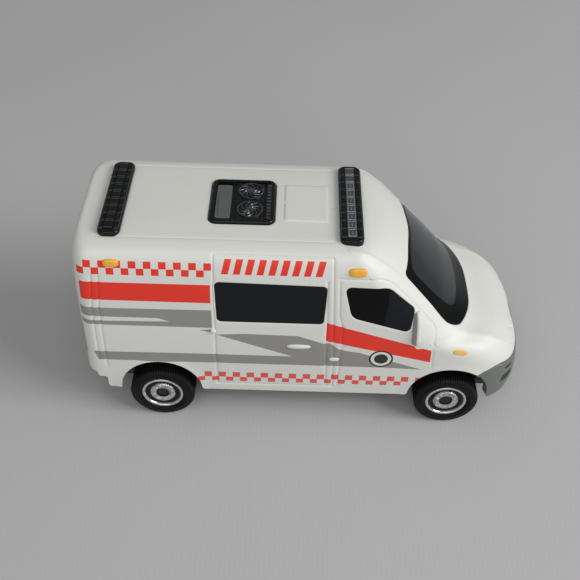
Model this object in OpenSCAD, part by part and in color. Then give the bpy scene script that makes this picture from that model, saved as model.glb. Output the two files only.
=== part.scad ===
// Toy ambulance van: a cast body shell on a moulded base plate, with smoke panes,
// two roof light bars, a roof vent and four free-running wheels on plain wire axles.
// Millimetres. X points forward, Y to the left, Z up.
// The origin is on the ground at mid length and mid width.

/* [Body] */
// Length from the front of the bumper to the rear doors
body_len = 74.7; // [73:0.1:76]
// Width across the side walls
body_w = 28.4; // [27.8:0.2:29.4]
// Height of the roof's crown above the ground
roof_h = 36.4; // [35:0.2:38]
// Height of the sill edge above the ground
sill_h = 6.5; // [6.3:0.1:6.9]
// Thickness of the cast wall
wall = 1.2; // [1:0.05:1.4]

/* [Running gear] */
// Distance between the two axles
wheelbase = 48.7; // [47.5:0.1:49.5]
// Distance from the front axle to the front of the bumper
front_overhang = 13; // [12.6:0.1:13.5]
// Outer diameter of a tyre
tyre_d = 11; // [10.6:0.1:11.4]
// Width of a tyre
tyre_w = 4.2; // [3.8:0.1:4.4]
// Distance of a tyre's outer face out beyond the side wall
wheel_proud = 0.5; // [0.3:0.1:0.7]
// Diameter of the seat of a tyre on its hub
rim_d = 7.2; // [7:0.1:7.4]
// Diameter of the axle wire
axle_d = 1.2; // [1:0.05:1.4]
// Gap between a tyre's tread and its wheel arch
arch_gap = 1.4; // [1.1:0.1:1.6]
// Height of the arch's centre above the axle
arch_rise = 1.1; // [0.8:0.1:1.4]

/* [Windows] */
// Radius of the corners of the window openings
window_r = 0.75; // [0.6:0.05:0.9]
// Depth of the outer face of a pane behind the outer face of the wall
pane_recess = 0.25; // [0.1:0.05:0.5]
// Thickness of a pane
pane_t = 0.8; // [0.6:0.05:0.9]

/* [Roof fittings] */
// Length of a light bar across the roof
bar_len = 18.4; // [17:0.1:19]
// Width of a light bar along the roof
bar_w = 3.5; // [3:0.1:4]
// Height of a light bar above the roof's crown
bar_rise = 0.8; // [0.5:0.1:1.2]
// Length of the roof vent along the roof
vent_len = 10.3; // [9.6:0.1:11]
// Width of the roof vent across the roof
vent_w = 11; // [10:0.1:12]
// Height of the roof vent above the roof's crown
vent_rise = 0.35; // [0.2:0.05:0.6]
// Diameter of a fan in the roof vent
fan_d = 4.2; // [3.6:0.1:4.6]
// Thickness of the flange that holds the roof vent under the roof
flange_t = 0.7; // [0.5:0.05:0.9]
// Reach of that flange behind the edge of the opening
flange_w = 0.5; // [0.35:0.05:0.8]

/* [Front bumper] */
// Height of the bumper's lower edge above the ground
bumper_low = 4.8; // [4.5:0.1:5.2]
// Height of the bumper's upper edge at the wheel arches
bumper_top = 11.9; // [11.4:0.1:12.4]
// Slope of the bumper's upper edge up to the front, in degrees
bumper_slope = 8; // [6:1:10]
// Thickness of the bumper's wall
bumper_t = 1.4; // [1.1:0.1:1.6]

/* [Base plate] */
// Thickness of the base plate's floor
base_t = 1.3; // [1.1:0.1:1.5]
// Thickness of the base plate under an axle
saddle_floor = 0.85; // [0.7:0.05:1]
// Diameter of the two posts inside the body shell
post_d = 4.1; // [3.8:0.1:4.6]
// Diameter of a rivet's shank
rivet_d = 1.8; // [1.6:0.1:2]
// Diameter of a rivet's head
rivet_head_d = 3.4; // [3:0.1:3.6]

/* [Hidden] */
$fn = 48;

// Fits: pane in its opening, flat seats, axle in its bearings,
// tyre on hub, rivet or peg in its hole
pane_fit = 0.08;
seat_gap = 0.05;
axle_fit = 0.05;
tyre_fit = 0.03;
rivet_fit = 0.05;
// Gap between the base plate and what stands round it
base_fit = 0.3;
// Gap between the bumper and the body shell
bumper_fit = 0.12;
// Amount by which a cutter runs past the face that it cuts
over = 1;

// Form of the body: each row is a height share of roof_h and a share of another size.
// Half width as a share of half of body_w
width_shares = [[0.11, 0.962], [0.19, 0.985], [0.36, 1], [0.52, 1], [0.70, 0.975],
  [0.813, 0.947], [0.901, 0.905], [0.945, 0.868], [0.967, 0.828], [0.98, 0.785], [0.992, 0.665],
  [1, 0.61]];
// Distance of the nose back from the bumper's front, as a share of body_len
nose_shares = [[0.11, 0.004], [0.192, 0], [0.291, 0.0045], [0.378, 0.0167], [0.448, 0.043],
  [0.4945, 0.077], [0.528, 0.1253], [0.703, 0.2067], [0.8846, 0.2893], [0.9176, 0.3087],
  [0.9643, 0.344], [0.992, 0.3827], [1, 0.397]];
// Length of the curved part of the nose, as a share of body_len
curve_shares = [[0.11, 0.175], [0.30, 0.18], [0.50, 0.16], [0.70, 0.115], [0.885, 0.09],
  [0.96, 0.07], [0.992, 0.05], [1, 0.055]];
// Distance of the tail forward from the rear end, as a share of body_len
tail_shares = [[0.11, 0.004], [0.25, 0], [0.40, 0.0025], [0.69, 0.0035], [0.85, 0.004], [0.93, 0.0065],
  [0.972, 0.011], [0.992, 0.018], [1, 0.022]];
// Length of the rounded part of the tail, as a share of body_len
tail_len_share = 0.04;
// Powers that shape the nose, by height share, and the tail in plan: 2 is an ellipse, more is squarer
power_shares = [[0.11, 2.8], [0.30, 3.1], [0.46, 3.2], [0.53, 2.8], [0.62, 2.3], [0.80, 2], [0.93, 2],
  [0.985, 2.4], [1, 2.4]];
tail_power = 6;
tail_curve = 2.4;
// Height shares at which the form is drawn, up to the edge of the roof's crown
level_shares = [0.21, 0.25, 0.30, 0.345, 0.39, 0.43, 0.46, 0.485, 0.505, 0.525, 0.56, 0.61,
  0.66, 0.71, 0.76, 0.81, 0.85, 0.885, 0.915, 0.94, 0.96, 0.975, 0.985, 0.992];
crown_share = 0.992;
// Sizes of the rings that close the crown, as shares of its edge
crown_shares = [0.78, 0.55, 0.3];
nose_steps = 11;
tail_steps = 8;

// Window corners: shares of body_len along and of roof_h up, anticlockwise
saloon_shares = [[-0.184, 0.6552], [0.0233, 0.6552], [0.0267, 0.8214], [-0.1867, 0.8297]];
cab_shares = [[0.1, 0.6923], [0.2093, 0.625], [0.2146, 0.706], [0.1592, 0.8176],
  [0.0853, 0.8214]];
// Windscreen and rear window corners: shares of half of body_w across and of roof_h up
screen_shares = [[-0.645, 0.823], [-0.728, 0.572], [-0.30, 0.559], [0.30, 0.559],
  [0.728, 0.572], [0.645, 0.823], [0.30, 0.857], [-0.30, 0.857]];
rear_shares = [[0.141, 0.654], [0.697, 0.654], [0.648, 0.8214], [0.141, 0.8214]];
corner_steps = 5;
edge_steps = 5;
// Rings drawn across the face of a pane, as shares of its outline
pane_shares = [0.35, 0.7];

// Running gear
axle_z = tyre_d / 2;
front_x = body_len / 2 - front_overhang;
rear_x = front_x - wheelbase;
arch_r = tyre_d / 2 + arch_gap;
arch_z = axle_z + arch_rise;
bumper_start = front_x + arch_r * cos(asin((bumper_top - arch_z) / arch_r));
bumper_climb = (body_len / 2 + over - bumper_start) * tan(bumper_slope);
wheel_gap = 1.6;
track_w = body_w + 2 * wheel_proud;
inner_y = track_w / 2 - tyre_w - wheel_gap;

// Roof fittings, placed by shares of body_len
front_bar_share = 0.086;
rear_bar_share = -0.415;
vent_share = -0.146;
bar_r_share = 0.343;
bar_r = bar_r_share * bar_w;
bar_peg_d = bar_w / 2;
bar_sink = 0.4;
vent_r = 1.2;
roof_in = roof_h * crown_share - wall;
bar_seat = roof_h * crown_share - bar_sink;

// Lamp bumps on the body: shares of body_len along and of roof_h up
lamp_shares = [[-0.404, 0.905], [0.096, 0.902], [0.334, 0.492]];
lamp_r = 0.55;
lamp_len = 1.3;

// Door mirrors cast on the body: share of body_len along and of roof_h up
mirror_x_share = 0.23;
mirror_low_share = 0.56;
mirror_top_share = 0.70;
mirror_r = 0.55;
mirror_reach = 1.1;

// Rear valance: the body's lower edge steps up behind the rear wheels
valance_back = 3.9;
valance_h = 9.2;
valance_end = 2.4;
valance_step = 1.2;

// Base plate
base_z = axle_z - axle_d / 2 - axle_fit - saddle_floor;
base_top = base_z + base_t;
tub_slope = 1.6;
tub_t = 1.2;
tub_top = sill_h + tub_t;
saddle_len = 4;
saddle_w = 3.4;
saddle_top = axle_z + axle_d / 2 + tub_t;
rear_post_x = -body_len / 2 + 2 * wall + post_d;
front_post_x = body_len / 2 - wall - post_d - over;
tongue_t = 1.2;
front_seat = base_top + 2 * seat_gap + tongue_t;
rear_seat = saddle_top;
rear_post_top_share = 0.55;
rivet_head_t = 0.7;
rivet_sink = 0.15;
rivet_grip = 4;
nameplate_len = 16;
nameplate_w = 9;
nameplate_t = 0.25;

// Interior tray
tray_z = saddle_top + seat_gap;
tray_t = 1;
tray_top = tray_z + tray_t;
tray_fit = 0.2;
seat_w = 6;
seat_len = 6.4;
seat_h = 4.2;
seat_back_h = 10.5;
seat_r = 0.9;
seat_y = 4.4;
seat_share = 0.075;
dash_share = 0.265;
dash_len = 4.6;
dash_h = 9.4;
dash_r = 1.2;
wheel_ring_d = 4.4;
wheel_ring_t = 0.7;
wheel_tilt = 62;
bulkhead_share = 0.056;
bulkhead_h = 17;
couch_share = -0.2;
couch_len = 22;
couch_w = 7;
couch_h = 5;

// Wheels
tyre_r = 0.6;
bead_r = 0.2;
hub_sink = 0.2;
ring_t = 0.45;
ring_r = rim_d / 2 - bead_r;
well_depth = 0.55;
disc_r_share = 0.6;
disc_r = disc_r_share * rim_d / 2;
disc_sink = 0.15;
nut_r = 0.17;
nut_t = 0.15;
nuts = 10;
head_r_share = 0.8;
head_r = head_r_share * axle_d;
head_t = 0.35;
head_fit = 0.2;
head_well = 0.85;
axle_play = 0.15;
hub_y = track_w / 2 - hub_sink;
axle_reach = hub_y - head_well + axle_play;

// Smooth value of a table at a place, by cubic pieces through its rows
function row(tab, s, i = 0) = i >= len(tab) - 2 || s < tab[i + 1][0] ? i : row(tab, s, i + 1);
function slope(tab, i) = let(a = max(i - 1, 0), b = min(i + 1, len(tab) - 1))
  (tab[b][1] - tab[a][1]) / (tab[b][0] - tab[a][0]);
function curve(tab, s) = let(
    i = row(tab, s),
    d = tab[i + 1][0] - tab[i][0],
    u = min(max((s - tab[i][0]) / d, 0), 1),
    v = 1 - u)
  tab[i][1] * v * v * (1 + 2 * u) + slope(tab, i) * d * u * v * v
  + tab[i + 1][1] * u * u * (1 + 2 * v) - slope(tab, i + 1) * d * u * u * v;

// The form set in by t: half width, nose, curved length and tail at height z
function half_w(z, t) = body_w / 2 * curve(width_shares, (z + t) / roof_h) - t;
function nose_x(z, t) = body_len / 2 - body_len * curve(nose_shares, (z + t) / roof_h) - t;
function nose_len(z, t) = body_len * curve(curve_shares, (z + t) / roof_h);
function nose_power(z, t) = curve(power_shares, (z + t) / roof_h);
function tail_x(z, t) = body_len * curve(tail_shares, (z + t) / roof_h) - body_len / 2 + t;
tail_len = body_len * tail_len_share;

// Places on the form set in by t: the side at x, the nose at y, the tail at y
function side_y(x, z, t) = let(
    a = nose_len(z, t),
    n = nose_power(z, t),
    u = min(max((x - nose_x(z, t) + a) / a, 0), 1))
  half_w(z, t) * pow(1 - pow(u, n), 1 / n);
function front_at(y, z, t) = let(n = nose_power(z, t), u = min(abs(y) / half_w(z, t), 1))
  nose_x(z, t) - nose_len(z, t) * (1 - pow(1 - pow(u, n), 1 / n));
function tail_at(y, z, t) = let(u = min(abs(y) / half_w(z, t), 1))
  tail_x(z, t) + tail_len * (1 - pow(1 - pow(u, tail_power), 1 / tail_curve));

// Plan outline of the form at height z, anticlockwise from the nose
function half_outline(z, t) = let(
    w = half_w(z, t),
    a = nose_len(z, t),
    x = nose_x(z, t) - a,
    n = nose_power(z, t),
    r = tail_x(z, t) + tail_len)
  concat(
    [for (i = [0 : nose_steps]) let(g = 90 * i / nose_steps)
      [x + a * pow(cos(g), 2 / n), w * pow(sin(g), 2 / n)]],
    [for (i = [0 : tail_steps]) let(g = 90 * i / tail_steps)
      [r - tail_len * pow(sin(g), 2 / tail_curve), w * pow(cos(g), 2 / tail_power)]]);
function outline(z, t) = let(h = half_outline(z, t), n = len(h))
  concat(h, [for (i = [n - 2 : -1 : 1]) [h[i][0], -h[i][1]]]);
function at_height(o, z) = [for (p = o) [p[0], p[1], z]];
function middle(r) = [for (k = [0 : 2]) (max([for (p = r) p[k]]) + min([for (p = r) p[k]])) / 2];
function toward(r, c, s) = [for (p = r) c + s * (p - c)];

// Rounded outline round corner centres, anticlockwise, with corner radius r
function edge_angle(a, b) = atan2(a[0] - b[0], b[1] - a[1]);
function rounded(c, r) = let(n = len(c))
  [for (i = [0 : n - 1]) let(
      a = edge_angle(c[(i + n - 1) % n], c[i]),
      b = edge_angle(c[i], c[(i + 1) % n]),
      d = (b - a + 720) % 360)
    each [for (k = [0 : corner_steps])
      c[i] + r * [cos(a + d * k / corner_steps), sin(a + d * k / corner_steps)]]];
// The same outline with more points along its edges, to follow a curved wall
function followed(c, r) = let(n = len(c))
  [for (i = [0 : n - 1]) let(
      a = edge_angle(c[(i + n - 1) % n], c[i]),
      b = edge_angle(c[i], c[(i + 1) % n]),
      d = (b - a + 720) % 360)
    each concat(
      [for (k = [0 : corner_steps])
        c[i] + r * [cos(a + d * k / corner_steps), sin(a + d * k / corner_steps)]],
      [for (k = [1 : edge_steps])
        c[i] + (c[(i + 1) % n] - c[i]) * k / (edge_steps + 1) + r * [cos(b), sin(b)]])];
function box_corners(l, w, r) = [[r - l / 2, r - w / 2], [l / 2 - r, r - w / 2],
  [l / 2 - r, w / 2 - r], [r - l / 2, w / 2 - r]];
function along(shares) = [for (p = shares) [p[0] * body_len, p[1] * roof_h]];
function across(shares) = [for (p = shares) [p[0] * body_w / 2, p[1] * roof_h]];

// Solid drawn through rings of points, closed at both ends
module skin(rings) {
  m = len(rings[0]);
  k = len(rings);
  polyhedron(
    points = concat([for (r = rings) each r], [middle(rings[0]), middle(rings[k - 1])]),
    faces = concat(
      [for (i = [0 : k - 2], j = [0 : m - 1]) [i * m + j, (i + 1) * m + j, (i + 1) * m + (j + 1) % m]],
      [for (i = [0 : k - 2], j = [0 : m - 1]) [i * m + j, (i + 1) * m + (j + 1) % m, i * m + (j + 1) % m]],
      [for (j = [0 : m - 1]) [k * m, j, (j + 1) % m]],
      [for (j = [0 : m - 1]) [k * m + 1, (k - 1) * m + (j + 1) % m, (k - 1) * m + j]]));
}

// The closed form of the body, set in by t, from height z0 up to the crown
module form(t, z0) {
  heights = concat([z0], [for (s = level_shares) if (s * roof_h - t > z0 + t) s * roof_h - t]);
  top = heights[len(heights) - 1];
  edge = at_height(outline(top, t), top);
  rise = t > 0 ? 0 : roof_h * (1 - crown_share);
  skin(concat(
    [for (z = heights) at_height(outline(z, t), z)],
    [for (s = crown_shares) toward(edge, middle(edge), s) + [for (p = edge) [0, 0, rise * (1 - s * s)]]]));
}

// A slice of the form between two heights
module form_slice(t, z0, z1, steps) {
  skin([for (i = [0 : steps]) let(z = z0 + (z1 - z0) * i / steps) at_height(outline(z, t), z)]);
}

// A bar across the body with a side outline in X and Z
module cross_bar(points, w) {
  rotate([90, 0, 0]) linear_extrude(w, center = true) polygon(points);
}

// A bar along the body with a front outline in Y and Z, from x0 to x1
module length_bar(points, x0, x1) {
  translate([x0, 0, 0]) rotate([90, 0, 90]) linear_extrude(x1 - x0) polygon(points);
}

// Both wheel arches on both sides, and the region under the bumper's upper edge
module arches(w) {
  for (x = [front_x, rear_x], s = [-1, 1])
    translate([x, s * (inner_y + w / 2), arch_z]) rotate([90, 0, 0])
      cylinder(h = w, r = arch_r, center = true);
}
module bumper_region(lift) {
  end = body_len / 2 + over;
  low = base_z - over;
  high = bumper_top + lift;
  cross_bar([[front_x, low], [end, low], [end, high + bumper_climb], [bumper_start, high], [front_x, high]],
    body_w + 2 * over);
}

// White cast body shell with its openings, posts, mirrors and lamp bumps
module body_shell() {
  color([0.86, 0.86, 0.84]) difference() {
    union() {
      difference() {
        form(0, sill_h);
        form(wall, sill_h - over);
      }
      intersection() {
        union() {
          translate([front_post_x, 0, front_seat + seat_gap]) cylinder(h = roof_h, d = post_d);
          translate([rear_post_x, 0, rear_seat + seat_gap])
            cylinder(h = rear_post_top_share * roof_h - rear_seat, d = post_d);
          translate([-body_len / 2, -post_d / 4, valance_h + 2 * valance_step])
            cube([rear_post_x + body_len / 2, post_d / 2,
              rear_post_top_share * roof_h - valance_h - 2 * valance_step]);
        }
        form(wall / 2, base_z);
      }
      for (s = [-1, 1], p = lamp_shares) lamp_bump(s, p[0] * body_len, p[1] * roof_h);
      for (s = [-1, 1]) door_mirror(s);
    }
    cross_bar(rounded(along(saloon_shares), window_r), body_w + 2 * over);
    cross_bar(rounded(along(cab_shares), window_r), body_w + 2 * over);
    length_bar(rounded(across(screen_shares), window_r), front_bar_share * body_len, body_len / 2);
    for (s = [-1, 1])
      length_bar([for (p = rounded(across(rear_shares), window_r)) [s * p[0], p[1]]],
        -body_len / 2 - over, -body_len / 2 + 2 * wall + tail_len / 2);
    for (x = [front_bar_share, rear_bar_share]) translate([x * body_len, 0, bar_seat]) {
      linear_extrude(wall + over) polygon(rounded(box_corners(bar_w, bar_len, bar_r), bar_r + pane_fit));
      for (s = [-1, 1]) translate([0, s * bar_len / 4, -wall])
        cylinder(h = 2 * wall, d = bar_peg_d + 2 * rivet_fit);
    }
    translate([vent_share * body_len, 0, roof_in - over])
      linear_extrude(wall + 2 * over)
        polygon(rounded(box_corners(vent_len, vent_w, vent_r), vent_r + pane_fit));
    arches(body_w / 2);
    bumper_region(bumper_fit);
    cross_bar([for (p = [[-over, 0], [valance_back, 0], [valance_back, valance_h], [valance_end, valance_h],
      [valance_end, valance_h + valance_step], [-over, valance_h + valance_step]]) p - [body_len / 2, 0]],
      body_w + 2 * over);
    translate([front_post_x, 0, 0])
      cylinder(h = front_seat + rivet_grip + over, d = rivet_d + 2 * rivet_fit);
    translate([rear_post_x, 0, 0]) cylinder(h = rear_seat + rivet_grip + over, d = rivet_d + 2 * rivet_fit);
  }
}

// A small lamp cast on the side s of the body
module lamp_bump(s, x, z) {
  y = side_y(x, z, lamp_r / 4);
  hull() for (e = [-1, 1]) translate([x + e * lamp_len / 2, s * y, z]) sphere(r = lamp_r, $fn = 16);
}

// A door mirror cast on the side s of the body: an upright rounded slab
module door_mirror(s) {
  x = mirror_x_share * body_len;
  z0 = mirror_low_share * roof_h;
  z1 = mirror_top_share * roof_h;
  hull() for (p = [[z0, 0], [z1, 0], [z0 + (z1 - z0) / 3, 1], [z1 - (z1 - z0) / 6, 1]])
    translate([x, s * (side_y(x, p[0], mirror_r) + p[1] * mirror_reach), p[0]])
      sphere(r = mirror_r, $fn = 16);
}

// Grey front bumper with a tongue that is clamped over the front of the base plate
module front_bumper() {
  high = bumper_top + bumper_climb + over;
  color([0.46, 0.48, 0.45]) {
    intersection() {
      difference() {
        form_slice(0, bumper_low, high, 6);
        form_slice(bumper_t, bumper_low - over, high + over, 6);
        arches(body_w / 2);
      }
      bumper_region(0);
    }
    difference() {
      x1 = nose_x(front_seat, bumper_t / 2);
      y1 = rivet_head_d;
      translate([front_post_x - post_d, -y1, base_top + seat_gap])
        cube([x1 - front_post_x + post_d, 2 * y1, tongue_t]);
      translate([front_post_x, 0, base_z]) cylinder(h = front_seat, d = rivet_d + 2 * rivet_fit);
    }
  }
}

// Dark moulded base plate with the axle saddles
module base_plate() {
  x0 = tail_at(inner_y, sill_h, wall) + base_fit;
  x1 = front_at(inner_y, base_top, bumper_t) - base_fit;
  m0 = rear_x + arch_r + base_fit;
  m1 = front_x - arch_r - base_fit;
  y1 = side_y(0, sill_h, wall) - base_fit;
  y0 = y1 - tub_slope;
  bend = sill_h - base_fit;
  color([0.2, 0.2, 0.21]) difference() {
    union() {
      translate([x0, -inner_y, base_z]) cube([x1 - x0, 2 * inner_y, base_t]);
      translate([x0, -inner_y, base_z])
        cube([base_t, 2 * inner_y, valance_h + valance_step - base_fit - base_z]);
      difference() {
        length_bar([[-y0, base_z], [y0, base_z], [y1, bend], [y1, tub_top], [-y1, tub_top], [-y1, bend]],
          m0, m1);
        length_bar([[tub_t - y0, base_top], [y0 - tub_t, base_top], [y1 - tub_t, bend],
          [y1 - tub_t, tub_top + over],
          [tub_t - y1, tub_top + over], [tub_t - y1, bend]], m0 + tub_t, m1 - tub_t);
        translate([m0 - over, -inner_y - tray_fit, saddle_top])
          cube([m1 - m0 + 2 * over, 2 * inner_y + 2 * tray_fit, tub_top]);
      }
      for (x = [front_x, rear_x], s = [-1, 1])
        translate([x - saddle_len / 2, s * (inner_y - saddle_w / 2) - saddle_w / 2, base_z])
          cube([saddle_len, saddle_w, saddle_top - base_z]);
      translate([rear_post_x, 0, base_z]) cylinder(h = rear_seat - base_z, d = post_d);
    }
    for (x = [front_x, rear_x]) {
      translate([x, 0, axle_z]) rotate([90, 0, 0])
        cylinder(h = body_w, d = axle_d + 2 * axle_fit, center = true);
      translate([x - axle_d / 2 - axle_fit, -body_w / 2, axle_z])
        cube([axle_d + 2 * axle_fit, body_w, saddle_top]);
    }
    for (x = [front_post_x, rear_post_x]) translate([x, 0, 0]) {
      cylinder(h = sill_h + post_d, d = rivet_d + 2 * rivet_fit);
      cylinder(h = base_z + rivet_sink + rivet_head_t + seat_gap, d = rivet_head_d + 2 * base_fit);
    }
    translate([-nameplate_len / 2, -nameplate_w / 2, base_z - over])
      cube([nameplate_len, nameplate_w, nameplate_t + over]);
  }
}

// Dark interior tray: floor, seats, dashboard, steering wheel, bulkhead and couch.
// Its ribs close the axle saddles from above.
module interior_tray() {
  m0 = rear_x + arch_r + base_fit + tub_t + tray_fit;
  m1 = front_x - arch_r - base_fit - tub_t - tray_fit;
  y1 = side_y(0, sill_h, wall) - base_fit - tub_t - tray_fit;
  x0 = rear_post_x + post_d / 2 + tray_fit;
  x1 = front_post_x - post_d / 2 - tray_fit;
  w0 = rear_x - arch_r - tray_t;
  w1 = front_x + arch_r + tray_t;
  rib_w = axle_d;
  rib_z = axle_z + axle_d / 2 + axle_fit;
  color([0.16, 0.16, 0.17]) {
    translate([x0, -inner_y, tray_z]) cube([x1 - x0, 2 * inner_y, tray_t]);
    translate([m0, -y1, tray_z]) cube([m1 - m0, 2 * y1, tray_t]);
    for (x = [front_x, rear_x], s = [-1, 1])
      translate([x - rib_w / 2, s * (inner_y - saddle_w / 2) - saddle_w / 2, rib_z])
        cube([rib_w, saddle_w, tray_top - rib_z]);
    for (s = [-1, 1]) translate([w0, s * (inner_y - tray_t / 2) - tray_t / 2, tray_z])
      cube([w1 - w0, tray_t, arch_z + arch_r + tray_t - tray_z]);
    for (s = [-1, 1]) translate([seat_share * body_len, s * seat_y, 0]) cab_seat();
    dashboard();
    translate([bulkhead_share * body_len, -inner_y, tray_z])
      cube([tray_t, 2 * inner_y, tray_t + bulkhead_h]);
    translate([couch_share * body_len, 0, tray_z])
      cross_bar([for (p = rounded(box_corners(couch_len, couch_h, seat_r), seat_r))
        p + [0, couch_h / 2]], couch_w);
  }
}

// One cab seat: a cushion and a raked back
module cab_seat() {
  translate([seat_len / 2, 0, tray_z])
    cross_bar([for (p = rounded(box_corners(seat_len, seat_h, seat_r), seat_r))
      p + [0, seat_h / 2]], seat_w);
  translate([seat_r, 0, tray_z])
    cross_bar(rounded([[0, seat_r], [seat_r, seat_r], [0, seat_back_h], [-seat_r / 2, seat_back_h]],
      seat_r), seat_w);
}

// Dashboard across the cab with the steering wheel on its column
module dashboard() {
  x = dash_share * body_len;
  translate([x, 0, tray_z])
    cross_bar([for (p = rounded(box_corners(dash_len, dash_h, dash_r), dash_r))
      p + [0, dash_h / 2]], 2 * inner_y);
  translate([x - dash_len / 2, seat_y, tray_z + dash_h - dash_r]) rotate([0, -wheel_tilt, 0]) {
    translate([0, 0, -dash_r]) cylinder(h = dash_r + wheel_ring_d / 2, d = wheel_ring_t);
    translate([0, 0, wheel_ring_d / 2]) {
      rotate_extrude() translate([wheel_ring_d / 2, 0]) circle(d = wheel_ring_t, $fn = 24);
      for (a = [0, 120, 240]) rotate([0, 90, a]) cylinder(h = wheel_ring_d / 2, d = wheel_ring_t / 2);
    }
  }
}

// A pane: rings of its outline from the middle of one face over the edge to the other.
// The third number of a point is its depth behind the wall's outer face.
function pane_rings(c) = let(
    plug = followed(c, window_r - pane_fit),
    core = [for (k = [0, 1]) (max([for (p = c) p[k]]) + min([for (p = c) p[k]])) / 2],
    faces = concat(pane_shares, [1]),
    n = len(faces))
  concat(
    [for (s = faces) [for (p = toward(plug, core, s)) [p[0], p[1], pane_recess]]],
    [for (i = [n - 1 : -1 : 0]) [for (p = toward(plug, core, faces[i]))
      [p[0], p[1], pane_recess + pane_t]]]);

// Smoke panes of the left-hand side; the right-hand ones are their mirror images
module side_pane(shares) {
  color([0.13, 0.14, 0.15, 0.8]) skin([for (r = pane_rings(along(shares)))
    [for (p = r) [p[0], side_y(p[0], p[1], 0) - p[2], p[1]]]]);
}
module rear_pane() {
  color([0.13, 0.14, 0.15, 0.8]) skin([for (r = pane_rings(across(rear_shares)))
    [for (p = r) [tail_at(p[0], p[1], 0) + p[2], p[0], p[1]]]]);
}
module windscreen() {
  color([0.13, 0.14, 0.15, 0.8]) skin([for (r = pane_rings(across(screen_shares)))
    [for (p = r) [front_at(p[0], p[1], 0) - p[2], -p[0], p[1]]]]);
}
module saloon_window_left() { side_pane(saloon_shares); }
module saloon_window_right() { mirror([0, 1, 0]) side_pane(saloon_shares); }
module cab_window_left() { side_pane(cab_shares); }
module cab_window_right() { mirror([0, 1, 0]) side_pane(cab_shares); }
module rear_window_left() { rear_pane(); }
module rear_window_right() { mirror([0, 1, 0]) rear_pane(); }

// A smoke light bar: a bar in a pocket of the roof, on two pegs, with a ribbed top
module light_bar(share) {
  ribs = 8;
  pitch = (bar_len - 2 * bar_r) / ribs;
  groove = bar_r / 4;
  top = roof_h + bar_rise - bar_seat;
  color([0.1, 0.11, 0.12, 0.9]) translate([share * body_len, 0, bar_seat]) {
    for (s = [-1, 1]) translate([0, s * bar_len / 4, -wall])
      cylinder(h = wall + 2 * seat_gap, d = bar_peg_d);
    difference() {
      translate([0, 0, seat_gap]) linear_extrude(top - seat_gap)
        polygon(rounded(box_corners(bar_w, bar_len, bar_r), bar_r));
      for (i = [0 : ribs - 1])
        translate([-bar_w / 4, (i + 1 / 6) * pitch + bar_r - bar_len / 2, top - groove])
          cube([bar_w / 2, pitch * 2 / 3, over]);
    }
  }
}
module front_light_bar() { light_bar(front_bar_share); }
module rear_light_bar() { light_bar(rear_bar_share); }

// Smoke roof vent: a hatch with a sunk panel at the rear and two fans at the front
module roof_vent() {
  top = roof_h + vent_rise;
  low = roof_in - seat_gap - flange_t;
  panel_share = 0.3;
  panel = panel_share * vent_len;
  rim = vent_r / 2;
  fan_x = vent_len / 2 - rim - fan_d / 2 - rim;
  color([0.1, 0.11, 0.12, 0.9]) translate([vent_share * body_len, 0, 0]) {
    translate([0, 0, low]) linear_extrude(flange_t)
      polygon(rounded(box_corners(vent_len, vent_w, vent_r), vent_r + flange_w));
    difference() {
      translate([0, 0, low]) linear_extrude(top - low)
        polygon(rounded(box_corners(vent_len, vent_w, vent_r), vent_r));
      translate([rim + panel / 2 - vent_len / 2, 0, top - vent_rise - rim / 2]) linear_extrude(vent_w)
        polygon(rounded(box_corners(panel, vent_w - 2 * rim, rim), rim));
      for (s = [-1, 1]) translate([fan_x, s * (fan_d + rim) / 2, top - rim / 2]) difference() {
        cylinder(h = over, d = fan_d);
        translate([0, 0, -over]) cylinder(h = 3 * over, d = fan_d / 4);
        for (a = [0 : 45 : 315]) rotate([0, 0, a]) translate([0, -rim / 4, -over])
          cube([fan_d, rim / 2, over + rim / 3]);
      }
    }
  }
}

// A steel axle: plain wire with a head at each end
module axle(x) {
  color([0.7, 0.7, 0.72]) translate([x, 0, axle_z]) rotate([90, 0, 0]) {
    cylinder(h = 2 * axle_reach, d = axle_d, center = true);
    for (s = [-1, 1]) translate([0, 0, s * (axle_reach + head_t / 2)])
      cylinder(h = head_t, r = head_r, center = true);
  }
}
module front_axle() { axle(front_x); }
module rear_axle() { axle(rear_x); }

// Black tyre and hub, drawn about the axle with the outer face towards +Z.
// Heights along the axle are measured down from the outer face of the tyre.
module tyre() {
  r = tyre_d / 2;
  b = rim_d / 2 + tyre_fit;
  color([0.08, 0.08, 0.08]) rotate_extrude() polygon(concat(
    rounded([[r - tyre_r, tyre_r - tyre_w], [r - tyre_r, -tyre_r]], tyre_r),
    [[b, -bead_r], [b, bead_r - tyre_w]]));
}
module hub() {
  face = -hub_sink;
  bore = axle_d / 2 + axle_fit;
  well = head_r + head_fit;
  color([0.12, 0.12, 0.12]) {
    rotate_extrude() polygon([[bore, -tyre_w], [rim_d / 2, -tyre_w], [rim_d / 2, face - ring_t],
      [ring_r, face],
      [ring_r - ring_t, face], [ring_r - ring_t, face - well_depth], [disc_r, face - well_depth],
      [disc_r, face - disc_sink], [well, face - disc_sink], [well, face - head_well],
      [bore, face - head_well]]);
    for (i = [0 : nuts - 1]) rotate([0, 0, 360 * i / nuts])
      translate([(disc_r + well) / 2, 0, face - disc_sink - nut_t])
        cylinder(h = 2 * nut_t, r = nut_r, $fn = 16);
  }
}
module at_wheel(x, s) {
  translate([x, s * track_w / 2, axle_z]) rotate([s < 0 ? 90 : -90, 0, 0]) children();
}
module front_right_tyre() { at_wheel(front_x, -1) tyre(); }
module front_right_hub() { at_wheel(front_x, -1) hub(); }
module front_left_tyre() { at_wheel(front_x, 1) tyre(); }
module front_left_hub() { at_wheel(front_x, 1) hub(); }
module rear_right_tyre() { at_wheel(rear_x, -1) tyre(); }
module rear_right_hub() { at_wheel(rear_x, -1) hub(); }
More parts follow.
